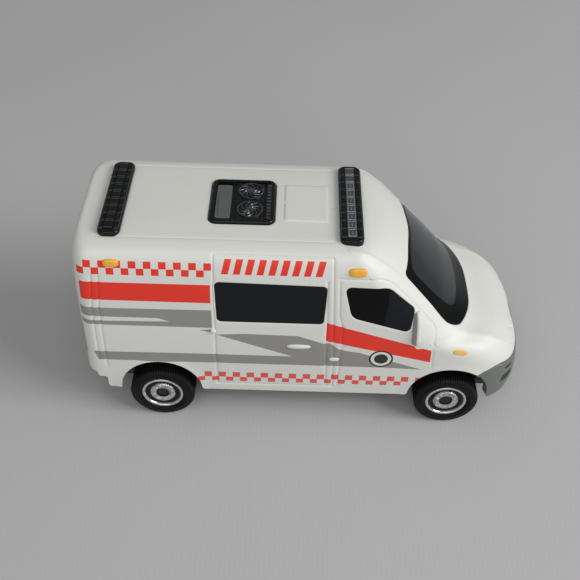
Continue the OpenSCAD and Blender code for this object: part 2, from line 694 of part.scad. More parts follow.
module rear_left_tyre() { at_wheel(rear_x, 1) tyre(); }
module rear_left_hub() { at_wheel(rear_x, 1) hub(); }

// Two rivets from below, through the base plate into the posts
module rivets() {
  color([0.72, 0.72, 0.73]) for (p = [[front_post_x, front_seat], [rear_post_x, rear_seat]])
    translate([p[0], 0, 0]) {
    translate([0, 0, base_z + rivet_sink]) cylinder(h = rivet_head_t, d = rivet_head_d);
    translate([0, 0, base_z + rivet_sink])
      cylinder(h = p[1] + rivet_grip - base_z - rivet_sink, d = rivet_d);
  }
}

body_shell();
front_bumper();
base_plate();
interior_tray();
windscreen();
cab_window_right();
cab_window_left();
saloon_window_right();
saloon_window_left();
rear_window_right();
rear_window_left();
front_light_bar();
rear_light_bar();
roof_vent();
front_axle();
rear_axle();
front_right_tyre();
front_right_hub();
front_left_tyre();
front_left_hub();
rear_right_tyre();
rear_right_hub();
rear_left_tyre();
rear_left_hub();
rivets();
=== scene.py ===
import math
import bmesh
import bpy
import numpy as np
from mathutils import Matrix, Vector
from mathutils.geometry import delaunay_2d_cdt


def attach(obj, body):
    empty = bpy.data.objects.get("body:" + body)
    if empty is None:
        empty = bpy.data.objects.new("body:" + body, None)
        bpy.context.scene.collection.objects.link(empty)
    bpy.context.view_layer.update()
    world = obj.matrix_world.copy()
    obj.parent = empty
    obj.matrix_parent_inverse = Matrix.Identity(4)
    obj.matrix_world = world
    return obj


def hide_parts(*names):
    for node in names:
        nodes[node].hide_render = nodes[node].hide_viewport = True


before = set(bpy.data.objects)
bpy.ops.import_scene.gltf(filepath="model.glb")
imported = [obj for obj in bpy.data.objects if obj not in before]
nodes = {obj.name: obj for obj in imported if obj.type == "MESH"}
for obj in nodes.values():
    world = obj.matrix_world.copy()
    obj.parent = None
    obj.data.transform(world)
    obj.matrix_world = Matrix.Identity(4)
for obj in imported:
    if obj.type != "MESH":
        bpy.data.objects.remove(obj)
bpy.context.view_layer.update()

# Camera: a short telephoto lens held over the near side of the van, level with its middle
# and tipped a little to one side, as the picture was taken.
MM = 0.001
CAMERA_TURN, CAMERA_LIFT, CAMERA_ROLL = math.radians(-0.17), math.radians(43.82), math.radians(1.77)
CAMERA_AIM = Vector((-2.98, 0, 17.09)) * MM
CAMERA_REACH = 152.08 * MM


def placed(name, data):
    """Makes an object and puts it in the scene."""
    o = bpy.data.objects.new(name, data)
    bpy.context.collection.objects.link(o)
    return o


back = Vector((math.sin(CAMERA_TURN) * math.cos(CAMERA_LIFT),
               -math.cos(CAMERA_TURN) * math.cos(CAMERA_LIFT), math.sin(CAMERA_LIFT)))
level = (-back).cross(Vector((0, 0, 1))).normalized()
above = level.cross(-back)
side = math.cos(CAMERA_ROLL) * level + math.sin(CAMERA_ROLL) * above
top = -math.sin(CAMERA_ROLL) * level + math.cos(CAMERA_ROLL) * above
camera = placed("camera", bpy.data.cameras.new("camera"))
turned_to = Matrix((side, top, back)).transposed().to_4x4()
camera.matrix_world = Matrix.Translation(CAMERA_AIM + back * CAMERA_REACH) @ turned_to
camera.data.sensor_width = 36
camera.data.lens = 54
camera.data.clip_start = 0.005
bpy.context.scene.camera = camera
bpy.context.scene.view_settings.view_transform = "Standard"

# Stage: a pale grey cloth laid flat under the van, with a fine upright rib in its weave,
# lit by a soft box from the right, a larger one from the front and an even pale room.
FLOOR_SIZE = 3.0
FLOOR_TONE = (183, 183, 184)
LIT_POINT = (0, 0, 0.015)
ROOM_LIGHT = 0.28


def srgb(red, green, blue):
    """A colour as it is mixed on a screen, in the linear values that a shader takes."""
    def linear(c):
        c /= 255
        return c / 12.92 if c <= 0.04045 else ((c + 0.055) / 1.055) ** 2.4
    return (linear(red), linear(green), linear(blue), 1)


def link(tree, a, out, b, into):
    tree.links.new(a.outputs[out], b.inputs[into])


def put(node, values):
    """Sets inputs of a shader node, each by its name or number."""
    for key, value in values.items():
        node.inputs[key].default_value = value
    return node


def floor_cloth():
    m = bpy.data.materials.new("floor_cloth")
    m.use_nodes = True
    t = m.node_tree
    bsdf = t.nodes["Principled BSDF"]
    place = t.nodes.new("ShaderNodeTexCoord")
    weave = put(t.nodes.new("ShaderNodeTexWave"), {"Scale": 420, "Distortion": 0.6, "Detail": 1})
    cloud = put(t.nodes.new("ShaderNodeTexNoise"), {"Scale": 14})
    tone = put(t.nodes.new("ShaderNodeMapRange"), {"To Min": 0.96, "To Max": 1.04})
    tint = put(t.nodes.new("ShaderNodeHueSaturation"), {"Color": srgb(*FLOOR_TONE)})
    bump = put(t.nodes.new("ShaderNodeBump"), {"Distance": 0.000005})
    link(t, place, "Object", weave, "Vector")
    link(t, place, "Object", cloud, "Vector")
    link(t, cloud, "Fac", tone, "Value")
    link(t, tone, "Result", tint, "Value")
    link(t, tint, "Color", bsdf, "Base Color")
    link(t, weave, "Fac", bump, "Height")
    link(t, bump, "Normal", bsdf, "Normal")
    put(bsdf, {"Roughness": 0.85, "Specular IOR Level": 0.2})
    return m


floor_mesh = bpy.data.meshes.new("floor")
half = FLOOR_SIZE / 2
floor_corners = [(-half, -half, 0), (half, -half, 0), (half, half, 0), (-half, half, 0)]
floor_mesh.from_pydata(floor_corners, [], [(0, 1, 2, 3)])
floor_mesh.materials.append(floor_cloth())
floor = placed("floor", floor_mesh)


def soft_box(name, place, width, watts):
    """A square lamp that faces the van."""
    light = bpy.data.lights.new(name, "AREA")
    light.shape = "SQUARE"
    light.size = width
    light.energy = watts
    o = placed(name, light)
    o.location = place
    o.rotation_euler = (Vector(LIT_POINT) - Vector(place)).to_track_quat("-Z", "Y").to_euler()


soft_box("right_soft_box", (0.55, -0.20, 0.40), 0.40, 3.5)
soft_box("front_soft_box", (-0.10, -0.72, 0.58), 0.90, 3.1)
world = bpy.data.worlds.new("pale_room")
world.use_nodes = True
put(world.node_tree.nodes["Background"], {"Color": (1, 1, 0.99, 1), "Strength": ROOM_LIGHT})
bpy.context.scene.world = world

# Base plate: a dark moulded tray under the van that carries both axles in open saddles.
# Moulded plastic with a fine spark-eroded grain; it keeps its solid from the construction.


def grain_group():
    """Uneven tone, gloss and height of a moulded, painted or drawn surface."""
    group = bpy.data.node_groups.new("surface_grain", "ShaderNodeTree")
    face = group.interface
    for way, names in (("INPUT", ("Color", "Tone", "Roughness", "Spread", "Scale")),
                       ("OUTPUT", ("Color", "Roughness", "Height"))):
        for name in names:
            kind = "NodeSocketColor" if name == "Color" else "NodeSocketFloat"
            face.new_socket(name=name, in_out=way, socket_type=kind)
    given = group.nodes.new("NodeGroupInput")
    result = group.nodes.new("NodeGroupOutput")
    place = group.nodes.new("ShaderNodeTexCoord")

    def noise(times, detail):
        n = put(group.nodes.new("ShaderNodeTexNoise"), {"Detail": detail})
        size = put(group.nodes.new("ShaderNodeMath"), {1: times})
        size.operation = "MULTIPLY"
        link(group, given, "Scale", size, 0)
        link(group, size, 0, n, "Scale")
        link(group, place, "Object", n, "Vector")
        return n

    def about(fac, centre, spread):
        shift = put(group.nodes.new("ShaderNodeMath"), {1: 0.5})
        shift.operation = "SUBTRACT"
        link(group, fac, "Fac", shift, 0)
        sized = group.nodes.new("ShaderNodeMath")
        sized.operation = "MULTIPLY_ADD"
        link(group, shift, 0, sized, 0)
        link(group, given, spread, sized, 1)
        if centre is None:
            sized.inputs[2].default_value = 1
        else:
            link(group, given, centre, sized, 2)
        return sized

    tint = group.nodes.new("ShaderNodeHueSaturation")
    link(group, given, "Color", tint, "Color")
    link(group, about(noise(1, 3), None, "Tone"), 0, tint, "Value")
    link(group, tint, "Color", result, "Color")
    link(group, about(noise(2.7, 2), "Roughness", "Spread"), 0, result, "Roughness")
    link(group, noise(9, 2), "Fac", result, "Height")
    return group


GRAIN = grain_group()


def finish(name, color, roughness, tone=0.1, spread=0.15, scale=350, peel=0.000003, sockets=()):
    """A material with grain; peel is the depth of its surface in metres."""
    m = bpy.data.materials.new(name)
    m.use_nodes = True
    t = m.node_tree
    bsdf = t.nodes["Principled BSDF"]
    grain = t.nodes.new("ShaderNodeGroup")
    grain.node_tree = GRAIN
    put(grain, {"Color": srgb(*color), "Tone": tone, "Roughness": roughness, "Spread": spread})
    put(grain, {"Scale": scale})
    bump = put(t.nodes.new("ShaderNodeBump"), {"Distance": peel})
    link(t, grain, "Color", bsdf, "Base Color")
    link(t, grain, "Roughness", bsdf, "Roughness")
    link(t, grain, "Height", bump, "Height")
    link(t, bump, "Normal", bsdf, "Normal")
    put(bsdf, dict(sockets))
    return m


def dress(node, material, bevel=0):
    """Gives a piece that keeps its solid a material and, where asked, soft edges."""
    o = nodes[node]
    for s in o.material_slots:
        s.material = material
    if bevel:
        edge = o.modifiers.new("soft_edges", "BEVEL")
        edge.width = bevel * MM
        edge.segments = 2
        edge.limit_method = "ANGLE"


base_plastic = finish("base_plastic", (52, 53, 55), 0.5, tone=0.2, scale=900, peel=0.000008)
dress("base_plate", base_plastic, 0.12)

# Axles and rivets: drawn steel wire with upset heads, and two steel rivets that clench
# the base plate to the posts inside the body. Bright zinc with a drawn grain.
steel = finish("zinc_steel", (186, 187, 189), 0.32, 0.2, 0.2, 1500, sockets={"Metallic": 1.0})
dress("rivets", steel)
black_steel = finish("black_steel", (62, 62, 64), 0.35, 0.3, 0.2, 1500, sockets={"Metallic": 0.9})
for node in ("front_axle", "rear_axle"):
    dress(node, black_steel)

# Interior tray: one dark moulding with seats, dashboard, steering wheel and couch. It lies
# on the base plate and holds the axles down; only a little of it shows through the panes.
tray_plastic = finish("tray_plastic", (40, 41, 43), 0.55, tone=0.2, scale=800, peel=0.000008)
dress("interior_tray", tray_plastic, 0.15)

# Body shell: one zinc casting in white enamel, with window openings, wheel arches, door
# lines, handles and mirrors cast in. Stripes and checks are pad printed on the enamel.
BODY_L, BODY_W, ROOF_H = 74.7, 28.4, 36.4
SILL = 6.5
WALL = 1.2
WIDTHS = [(0.11, 0.962), (0.19, 0.985), (0.36, 1), (0.52, 1), (0.70, 0.975), (0.813, 0.947),
          (0.901, 0.905), (0.945, 0.868), (0.967, 0.828), (0.98, 0.785), (0.992, 0.665), (1, 0.61)]
NOSES = [(0.11, 0.004), (0.192, 0), (0.291, 0.0045), (0.378, 0.0167), (0.448, 0.043), (0.4945, 0.077),
         (0.528, 0.1253), (0.703, 0.2067), (0.8846, 0.2893), (0.9176, 0.3087), (0.9643, 0.344),
         (0.992, 0.3827), (1, 0.397)]
CURVES = [(0.11, 0.175), (0.30, 0.18), (0.50, 0.16), (0.70, 0.115), (0.885, 0.09), (0.96, 0.07),
          (0.992, 0.05), (1, 0.055)]
TAILS = [(0.11, 0.004), (0.25, 0), (0.40, 0.0025), (0.69, 0.0035), (0.85, 0.004), (0.93, 0.0065),
         (0.972, 0.011), (0.992, 0.018), (1, 0.022)]
POWERS = [(0.11, 2.8), (0.30, 3.1), (0.46, 3.2), (0.53, 2.8), (0.62, 2.3), (0.80, 2), (0.93, 2), (0.985, 2.4),
          (1, 2.4)]
TAIL_L = 0.04 * BODY_L
CROWN = 0.992 * ROOF_H
NOSE_EASE = 1.4
TAIL_POWER = 2.4
TAIL_BEND = 0.35
TAIL_FLAT = 0.5 ** (1 / 3)


def curve(rows, s):
    """A smooth curve through rows of place and value."""
    x, y = np.array(rows).T
    k = np.arange(len(x))
    a, b = np.maximum(k - 1, 0), np.minimum(k + 1, len(x) - 1)
    m = (y[b] - y[a]) / (x[b] - x[a])
    i = np.clip(np.searchsorted(x, s, "right") - 1, 0, len(x) - 2)
    d = x[i + 1] - x[i]
    u = np.clip((s - x[i]) / d, 0, 1)
    v = 1 - u
    lower = y[i] * v * v * (1 + 2 * u) + m[i] * d * u * v * v
    return lower + y[i + 1] * u * u * (1 + 2 * v) - m[i + 1] * d * u * u * v


def form_at(z):
    """Half width, length and start of the nose, its roundness and the start of the tail at a height."""
    s = np.asarray(z, float) / ROOF_H
    bend = BODY_L * curve(CURVES, s)
    start = BODY_L / 2 - BODY_L * curve(NOSES, s) - bend
    tail = BODY_L * curve(TAILS, s) - BODY_L / 2 + TAIL_L
    return BODY_W / 2 * curve(WIDTHS, s), bend, start, curve(POWERS, s), tail


def columns(*parts):
    """Rows of points from their coordinates; a single number serves every row."""
    return np.stack(np.broadcast_arrays(*parts), -1)


def skin_point(u, z):
    """The left-hand skin: u runs 0 to 1 round the nose, to 2 along the side, to 3 round the tail."""
    w, bend, start, p, r = form_at(z)
    h = np.clip(u, 0, 1) ** NOSE_EASE
    g = h / (h + (1 - np.clip(u, 0, 1)) ** NOSE_EASE) * math.pi / 2
    v = np.clip(u - 2, 0, 1)
    q = np.where(v < TAIL_BEND, np.cos(np.minimum(v / TAIL_BEND, 1) * math.pi / 3) ** (1 / 3),
                 TAIL_FLAT * (1 - v) / (1 - TAIL_BEND))
    x = np.where(u <= 1, start + bend * np.clip(np.cos(g), 0, 1) ** (2 / p),
                 np.where(u <= 2, start + (r - start) * (u - 1),
                          r - TAIL_L * (1 - q ** 6) ** (1 / TAIL_POWER)))
    y = np.where(u <= 1, w * np.clip(np.sin(g), 0, 1) ** (2 / p), np.where(u <= 2, w, w * q))
    return columns(x, y, z + 0 * x)


def nose_u(g):
    """Place round the nose from its angle."""
    h = np.clip(g / (math.pi / 2), 0, 1)
    a, b = h ** (1 / NOSE_EASE), (1 - h) ** (1 / NOSE_EASE)
    return a / (a + b)


def tail_u(q):
    """Place round the tail from its share of the half width."""
    return 2 + np.where(q > TAIL_FLAT, TAIL_BEND * np.arccos(np.clip(q, 0, 1) ** 3) / (math.pi / 3),
                        TAIL_BEND + (1 - TAIL_BEND) * (1 - q / TAIL_FLAT))


def side_uz(points):
    """Places on the side wall given by x and z."""
    x, z = np.asarray(points, float).T
    w, bend, start, p, r = form_at(z)
    nose = nose_u(np.arccos(np.clip((x - start) / bend, 0, 1) ** (p / 2)))
    tail = tail_u((1 - np.clip((r - x) / TAIL_L, 0, 1) ** TAIL_POWER) ** (1 / 6))
    return columns(np.where(x > start, nose, np.where(x > r, 1 + (x - start) / (r - start), tail)), z)


def nose_uz(points):
    """Places on the front given by y and z."""
    y, z = np.asarray(points, float).T
    w, bend, start, p, r = form_at(z)
    return columns(nose_u(np.arcsin(np.clip(y / w, 0, 1) ** (p / 2))), z)


def tail_uz(points):
    """Places on the rear given by y and z."""
    y, z = np.asarray(points, float).T
    return columns(tail_u(y / form_at(z)[0]), z)


# The skin is rolled out flat, near enough to true length, to lay out its outline and prints.
FLAT_U = ((0, 1, 2, 2 + TAIL_BEND, 3), (0, 22, 68, 72.2, 83.2))
climb = np.linspace(4, CROWN, 600)
run = np.concatenate([[0], np.cumsum(np.hypot(np.diff(climb), np.diff(form_at(climb)[0])))])


def rolled(uz):
    return columns(np.interp(uz[:, 0], *FLAT_U), np.interp(uz[:, 1], climb, run))


def unrolled(flat):
    return np.interp(flat[:, 0], FLAT_U[1], FLAT_U[0]), np.interp(flat[:, 1], run, climb)


def rounded(corners, r, steps=7, wide=()):
    """An outline that passes r outside its corners; wide adds to the radius of each corner."""
    c = np.asarray(corners, float)
    out = []
    for i in range(len(c)):
        before, here, after = c[i - 1], c[i], c[(i + 1) % len(c)]
        a = math.atan2(before[0] - here[0], here[1] - before[1])
        b = math.atan2(here[0] - after[0], after[1] - here[1])
        turn = (b - a) % (2 * math.pi)
        extra = wide[i] if wide else 0
        middle = np.array([math.cos(a + turn / 2), math.sin(a + turn / 2)])
        centre = here - middle * extra / math.cos(turn / 2)
        sweep = a + turn * np.arange(steps + 1) / steps
        out.append(centre + (r + extra) * columns(np.cos(sweep), np.sin(sweep)))
    return np.concatenate(out)


def dense(points, step, closed=True):
    """The same line with points no further apart than step."""
    p = np.asarray(points, float)
    ends = np.roll(p, -1, 0) if closed else p[1:]
    out = []
    for a, b in zip(p, ends):
        n = max(1, math.ceil(np.linalg.norm(b - a) / step))
        out += [a + (b - a) * k / n for k in range(n)]
    return np.array(out if closed else out + [p[-1]])


def inside(points, polygon):
    """Which of the points lie inside a closed outline."""
    x, y = points.T
    odd = np.zeros(len(x), bool)
    for (ax, ay), (bx, by) in zip(polygon, np.roll(polygon, -1, 0)):
        if ay != by:
            odd ^= ((ay > y) != (by > y)) & (x < (bx - ax) * (y - ay) / (by - ay) + ax)
    return odd


def to_paths(points, paths):
    """Distance from each point to the nearest of some open paths."""
    best = np.full(len(points), 1e9)
    for path in paths:
        for a, b in zip(path, path[1:]):
            d = b - a
            t = np.clip((points - a) @ d / max(d @ d, 1e-12), 0, 1)
            best = np.minimum(best, np.linalg.norm(points - a - t[:, None] * d, axis=1))
    return best


BESIDE = (-0.3, -0.17, -0.08, 0.08, 0.17, 0.3)
CLEAR = 0.07


def triangulated(outline, holes, marks, paths, step, near=0.3, thin=0):
    """Triangles over a flat outline with holes; marks are closed prints, paths are open cast lines.

    Rows of points run beside each path. Triangles smaller than thin are left out.
    """
    verts, edges = [], []
    loops = [(loop, True) for loop in [outline, *holes, *marks]] + [(p, False) for p in paths]
    for loop, closed in loops:
        n = len(verts)
        verts += [tuple(p) for p in loop]
        edges += [(n + i, n + i + 1) for i in range(len(loop) - 1)]
        if closed:
            edges.append((n + len(loop) - 1, n))
    rings = [np.concatenate([loop, loop[:1]]) for loop in [outline, *holes, *marks]]
    low, high = outline.min(0), outline.max(0)
    across = np.meshgrid(np.arange(low[0], high[0], step), np.arange(low[1], high[1], step))
    grid = np.stack(across, -1).reshape(-1, 2)
    grid = grid[inside(grid, outline)]
    for h in holes:
        grid = grid[~inside(grid, h)]
    verts += [tuple(p) for p in grid[to_paths(grid, rings + paths) > near]]
    for p in paths:
        along = np.gradient(p, axis=0)
        across = columns(-along[:, 1], along[:, 0]) / np.maximum(np.hypot(*along.T), 1e-9)[:, None]
        beside = np.concatenate([p + across * w for w in BESIDE])
        verts += [tuple(v) for v in beside[to_paths(beside, rings) > CLEAR]]
    flat, _, faces, _, _, _ = delaunay_2d_cdt([Vector(v) for v in verts], edges, [], 0, 0.00001)
    flat = np.array([tuple(v) for v in flat])
    faces = np.array(faces)
    middle = flat[faces].mean(1)
    a, b = flat[faces[:, 1]] - flat[faces[:, 0]], flat[faces[:, 2]] - flat[faces[:, 0]]
    keep = inside(middle, outline) & (np.abs(a[:, 0] * b[:, 1] - a[:, 1] * b[:, 0]) / 2 >= thin)
    for h in holes:
        keep &= ~inside(middle, h)
    return flat, faces[keep], middle[keep]


WELD = 0.002


class Piece:
    """Vertices, faces and face finishes of one piece, gathered in millimetres."""

    def __init__(self):
        self.verts, self.faces, self.marks = [], [], []

    def add(self, verts, faces, mark=0):
        """Adds faces; the mark is the number of their finish, one for all or one for each."""
        n = len(self.verts)
        self.verts += [tuple(float(c) for c in v) for v in verts]
        self.faces += [tuple(int(i) + n for i in f) for f in faces]
        self.marks += list(mark) if np.ndim(mark) else [mark] * len(faces)

    def strips(self, rings, closed=True, mark=0):
        """Joins rows of points, each to the next, with bands of faces."""
        m, k = len(rings[0]), len(rings)
        last = m if closed else m - 1
        faces = [(i * m + j, i * m + (j + 1) % m, (i + 1) * m + (j + 1) % m, (i + 1) * m + j)
                 for i in range(k - 1) for j in range(last)]
        self.add(np.concatenate(rings), faces, np.repeat(mark, last) if np.ndim(mark) else mark)

    def mirrored(self):
        """Adds the same faces on the other side of the van."""
        n = len(self.verts)
        self.verts += [(x, -y, z) for x, y, z in self.verts]
        self.faces += [tuple(i + n for i in reversed(f)) for f in self.faces]
        self.marks += self.marks

    def build(self, name, materials, slot, body, *replaced, crisp=48):
        """Makes the object; edges that turn by more than crisp degrees stay sharp."""
        mesh = bpy.data.meshes.new(name)
        mesh.from_pydata([tuple(c * MM for c in v) for v in self.verts], [], self.faces)
        for m in materials:
            mesh.materials.append(m)
        mesh.polygons.foreach_set("material_index", self.marks)
        mesh.polygons.foreach_set("use_smooth", [True] * len(mesh.polygons))
        joined = bmesh.new()
        joined.from_mesh(mesh)
        bmesh.ops.remove_doubles(joined, verts=joined.verts, dist=WELD * MM)
        bmesh.ops.recalc_face_normals(joined, faces=joined.faces)
        joined.to_mesh(mesh)
        joined.free()
        mesh.set_sharp_from_angle(angle=math.radians(crisp))
        o = placed(name, mesh)
        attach(o, body)
        if replaced:
            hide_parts(*replaced)


def normals(u, z):
    """The way out from the skin at each place."""
    e = 0.002
    along = skin_point(np.minimum(u + e, 3), z) - skin_point(np.maximum(u - e, 0), z)
    rise = skin_point(u, np.minimum(z + 0.02, CROWN)) - skin_point(u, z - 0.02)
    n = np.cross(along, rise)
    return n / np.maximum(np.linalg.norm(n, axis=1), 1e-9)[:, None]


WINDOW_R = 0.75
WINDOW_LIP = 0.14
SCREEN_MID = 25
SALOON = [(-0.184, 0.6552), (0.0233, 0.6552), (0.0267, 0.8214), (-0.1867, 0.8297)]
CAB = [(0.1, 0.6923), (0.2093, 0.625), (0.2146, 0.706), (0.1592, 0.8176), (0.0853, 0.8214)]
SCREEN = [(-0.645, 0.823), (-0.728, 0.572), (-0.30, 0.559), (0.30, 0.559), (0.728, 0.572), (0.645, 0.823),
          (0.30, 0.857), (-0.30, 0.857)]
REAR = [(0.141, 0.654), (0.697, 0.654), (0.648, 0.8214), (0.141, 0.8214)]
saloon = ([(a * BODY_L, b * ROOF_H) for a, b in SALOON], ())
cab = ([(a * BODY_L, b * ROOF_H) for a, b in CAB], (1.2, 0.2, 0.5, 2.2, 0.1))
screen = ([(a * BODY_W / 2, b * ROOF_H) for a, b in SCREEN], (0.2, 0.7, 20, 20, 0.7, 0.2, 14, 14))
rear = ([(a * BODY_W / 2, b * ROOF_H) for a, b in REAR], ())


def opening(window, grow):
    """A window outline grown by some amount, with the same points whatever the growth."""
    corners, wide = window
    inner = rounded(corners, WINDOW_R, wide=wide)
    outer = rounded(corners, WINDOW_R + grow, wide=wide)
    out = []
    for i in range(len(inner)):
        j = (i + 1) % len(inner)
        n = max(1, math.ceil(np.linalg.norm(inner[j] - inner[i]) / 0.5))
        out += [outer[i] + (outer[j] - outer[i]) * k / n for k in range(n)]
    return np.array(out)


def screen_half(grow):
    """The left-hand half of the windscreen's opening, from the bottom up."""
    p = opening(screen, grow)
    i = int(np.argmin(np.abs(p[:, 0]) + (p[:, 1] > SCREEN_MID) * 99))
    p = np.roll(p, -i, 0)
    p = p[: int(np.argmin(np.abs(p[:, 0]) + (p[:, 1] < SCREEN_MID) * 99)) + 1]
    p[0, 0] = p[-1, 0] = 0
    return p


ARCH_R, ARCH_Z, FRONT_X, REAR_X = 6.9, 6.6, 24.35, -24.35
BUMPER_TOP, BUMPER_START = 12.02, 28.77
JOINT = [(28.0, -0.45), (28.77, 0), (30.9, 1.1), (32.3, 1.5), (33.7, 1.2), (35.1, 0.85), (37.4, 0.8)]


def bumper_line(lift, count=60):
    """The sloping joint between body and bumper, from the nose to the wheel arch."""
    z_end = BUMPER_TOP + lift
    u = np.linspace(0, float(side_uz([(BUMPER_START, z_end)])[0, 0]), count)
    z = np.full(count, BUMPER_TOP)
    for _ in range(80):
        z = 0.6 * z + 0.4 * (z_end + curve(JOINT, skin_point(u, z)[:, 0]))
    return columns(u, z)


def arch(x, first, last, count=70):
    """The edge of a wheel arch from one angle to another."""
    a = np.radians(np.linspace(first, last, count))
    return side_uz(columns(x + ARCH_R * np.cos(a), ARCH_Z + ARCH_R * np.sin(a)))


def arch_angle(z):
    """The angle at which a wheel arch reaches a height."""
    return math.degrees(math.asin((z - ARCH_Z) / ARCH_R))


SILL_R = 0.8
VALANCE_H = 10.4
sill_angle, corner_angle, joint_angle = arch_angle(SILL), arch_angle(SILL + SILL_R), arch_angle(BUMPER_TOP)


def sill_corner(x, way):
    """The rounded corner where a wheel arch runs into the sill, from the arch down."""
    high = np.array([x + way * ARCH_R * math.cos(math.radians(corner_angle)), SILL + SILL_R])
    corner, low = np.array([x + way * ARCH_R, SILL]), np.array([x + way * (ARCH_R + SILL_R), SILL])
    t = np.linspace(0, 1, 9)[:, None]
    return high * (1 - t) ** 2 + corner * 2 * t * (1 - t) + low * t ** 2


sill_ends = [(FRONT_X - ARCH_R - SILL_R, SILL), (REAR_X + ARCH_R + SILL_R, SILL)]
sill_run = np.concatenate([sill_corner(FRONT_X, -1)[1:-1], dense(sill_ends, 0.6, False),
                           sill_corner(REAR_X, 1)[-2:0:-1]])
valance = dense([(REAR_X - ARCH_R, SILL), (-33.1, SILL), (-33.45, SILL + 0.35), (-33.45, 8.9), (-33.75, 9.2),
                 (-34.6, 9.2), (-34.95, 9.55), (-34.95, 10.1), (-35.25, VALANCE_H),
                 (-36.4, VALANCE_H)], 0.4, False)[1:]
low_edge = np.concatenate([bumper_line(0)[:-1], arch(FRONT_X, joint_angle, 180 - corner_angle),
                           side_uz(sill_run), arch(REAR_X, corner_angle, 180 - sill_angle), side_uz(valance),
                           columns(np.linspace(2.4, 3, 24), VALANCE_H)])
crown_u = np.concatenate([np.linspace(0, 1, 60), np.linspace(1, 2, 90)[1:], np.linspace(2, 3, 50)[1:]])
crown_edge = columns(crown_u, CROWN)
screen_edge = nose_uz(screen_half(WINDOW_LIP))
front_low = columns(0, np.linspace(low_edge[0, 1], screen_edge[0, 1], 20))[1:-1]
front_high = columns(0, np.linspace(screen_edge[-1, 1], CROWN, 8))[1:-1]
rear_mid = columns(3.0, np.linspace(VALANCE_H, CROWN, 50))[1:-1]
skin_loop = [low_edge, rear_mid, crown_edge[::-1], front_high[::-1], screen_edge[::-1], front_low[::-1]]
skin_outline = rolled(np.concatenate(skin_loop))
skin_holes = [rolled(side_uz(opening(saloon, WINDOW_LIP))), rolled(side_uz(opening(cab, WINDOW_LIP))),
              rolled(tail_uz(opening(rear, WINDOW_LIP)))]

# Prints on the enamel, each an outline in x and z, or in y and z on the nose and the tail.
WHITE, RED, PALE_RED, GREY, INK, TAIL_RED = range(6)
prints = []


def printed(mark, points, place=side_uz):
    """Lays a print on the skin, over those before it."""
    prints.append((mark, rolled(place(dense(points, 0.5)))))


printed(RED, [(-35.6, 27.0), (-15.35, 26.9), (-15.3, 30.4), (-35.5, 30.4)])
printed(GREY, [(-36.0, 21.8), (-18.5, 21.75), (-15.25, 21.7), (-15.25, 25.45), (-36.0, 25.35)])
printed(WHITE, [(-36.1, 22.7), (-32.5, 22.65), (-22.0, 22.85), (-23.8, 23.5), (-36.1, 23.55)])
printed(GREY, [(-17.3, 21.2), (-15.25, 20.6), (-15.25, 21.45)])
printed(GREY, [(-14.65, 20.3), (-2.3, 15.65), (-17.5, 15.72), (-34.85, 15.6), (-34.35, 13.6),
               (3.15, 13.52), (13.0, 13.5), (19.3, 13.25), (8.7, 16.95), (5.4, 17.55), (3.65, 19.0),
               (2.9, 18.8), (-1.5, 20.45), (-10.0, 20.62)])
printed(RED, [(3.0, 19.5), (20.4, 15.15), (20.3, 17.95), (18.8, 18.42), (17.85, 18.2), (17.3, 18.95),
              (3.0, 23.45)])


def block(mark, x, width, low, high, place=side_uz):
    """A printed rectangle."""
    printed(mark, [(x, low), (x + width, low), (x + width, high), (x, high)], place)


HIGH_PITCH, HIGH_CHECK, HIGH_LEVELS = 2.29, 1.17, (31.78, 32.94, 34.1)
LOW_PITCH, LOW_CHECKS, LOW_LEVELS = 2.36, (1.2, 1.24), (8.92, 9.98, 11.25)
for k in range(9):
    block(RED, -34.55 + k * HIGH_PITCH, HIGH_CHECK, *HIGH_LEVELS[1:])
    block(RED, -35.68 + k * HIGH_PITCH, HIGH_CHECK, *HIGH_LEVELS[:2])
for k in range(16):
    block(PALE_RED, -16.95 + k * LOW_PITCH, LOW_CHECKS[1], *LOW_LEVELS[1:])
for k in range(-1, 14):
    block(PALE_RED, -15.72 + k * LOW_PITCH, LOW_CHECKS[0], *LOW_LEVELS[:2])
SLANT_PITCH, SLANT_LOW, SLANT_HIGH = 1.8, 32.4, 34.8
for k in range(9):
    x = -13.6 + k * SLANT_PITCH
    printed(RED, [(x, SLANT_LOW), (x + 1.05, SLANT_LOW), (x + 1.6, SLANT_HIGH), (x + 0.55, SLANT_HIGH)])
RINGS_X, RINGS_Z = 12.25, 15.65
around = np.linspace(0, 2 * math.pi, 49)[:-1]
circle = columns(np.cos(around), np.sin(around))
for mark, r in ((INK, 2.0), (WHITE, 1.68), (INK, 1.15)):
    printed(mark, circle * r + (RINGS_X, RINGS_Z))
SLOT_W, SLOT_H = 1.9, 0.3
for low in (13.4, 13.95):
    block(INK, 0.04, SLOT_W, low, low + SLOT_H, nose_uz)
printed(TAIL_RED, rounded([(11.9, 14.6), (12.7, 14.6), (12.6, 20.4), (11.9, 20.4)], 0.35), tail_uz)

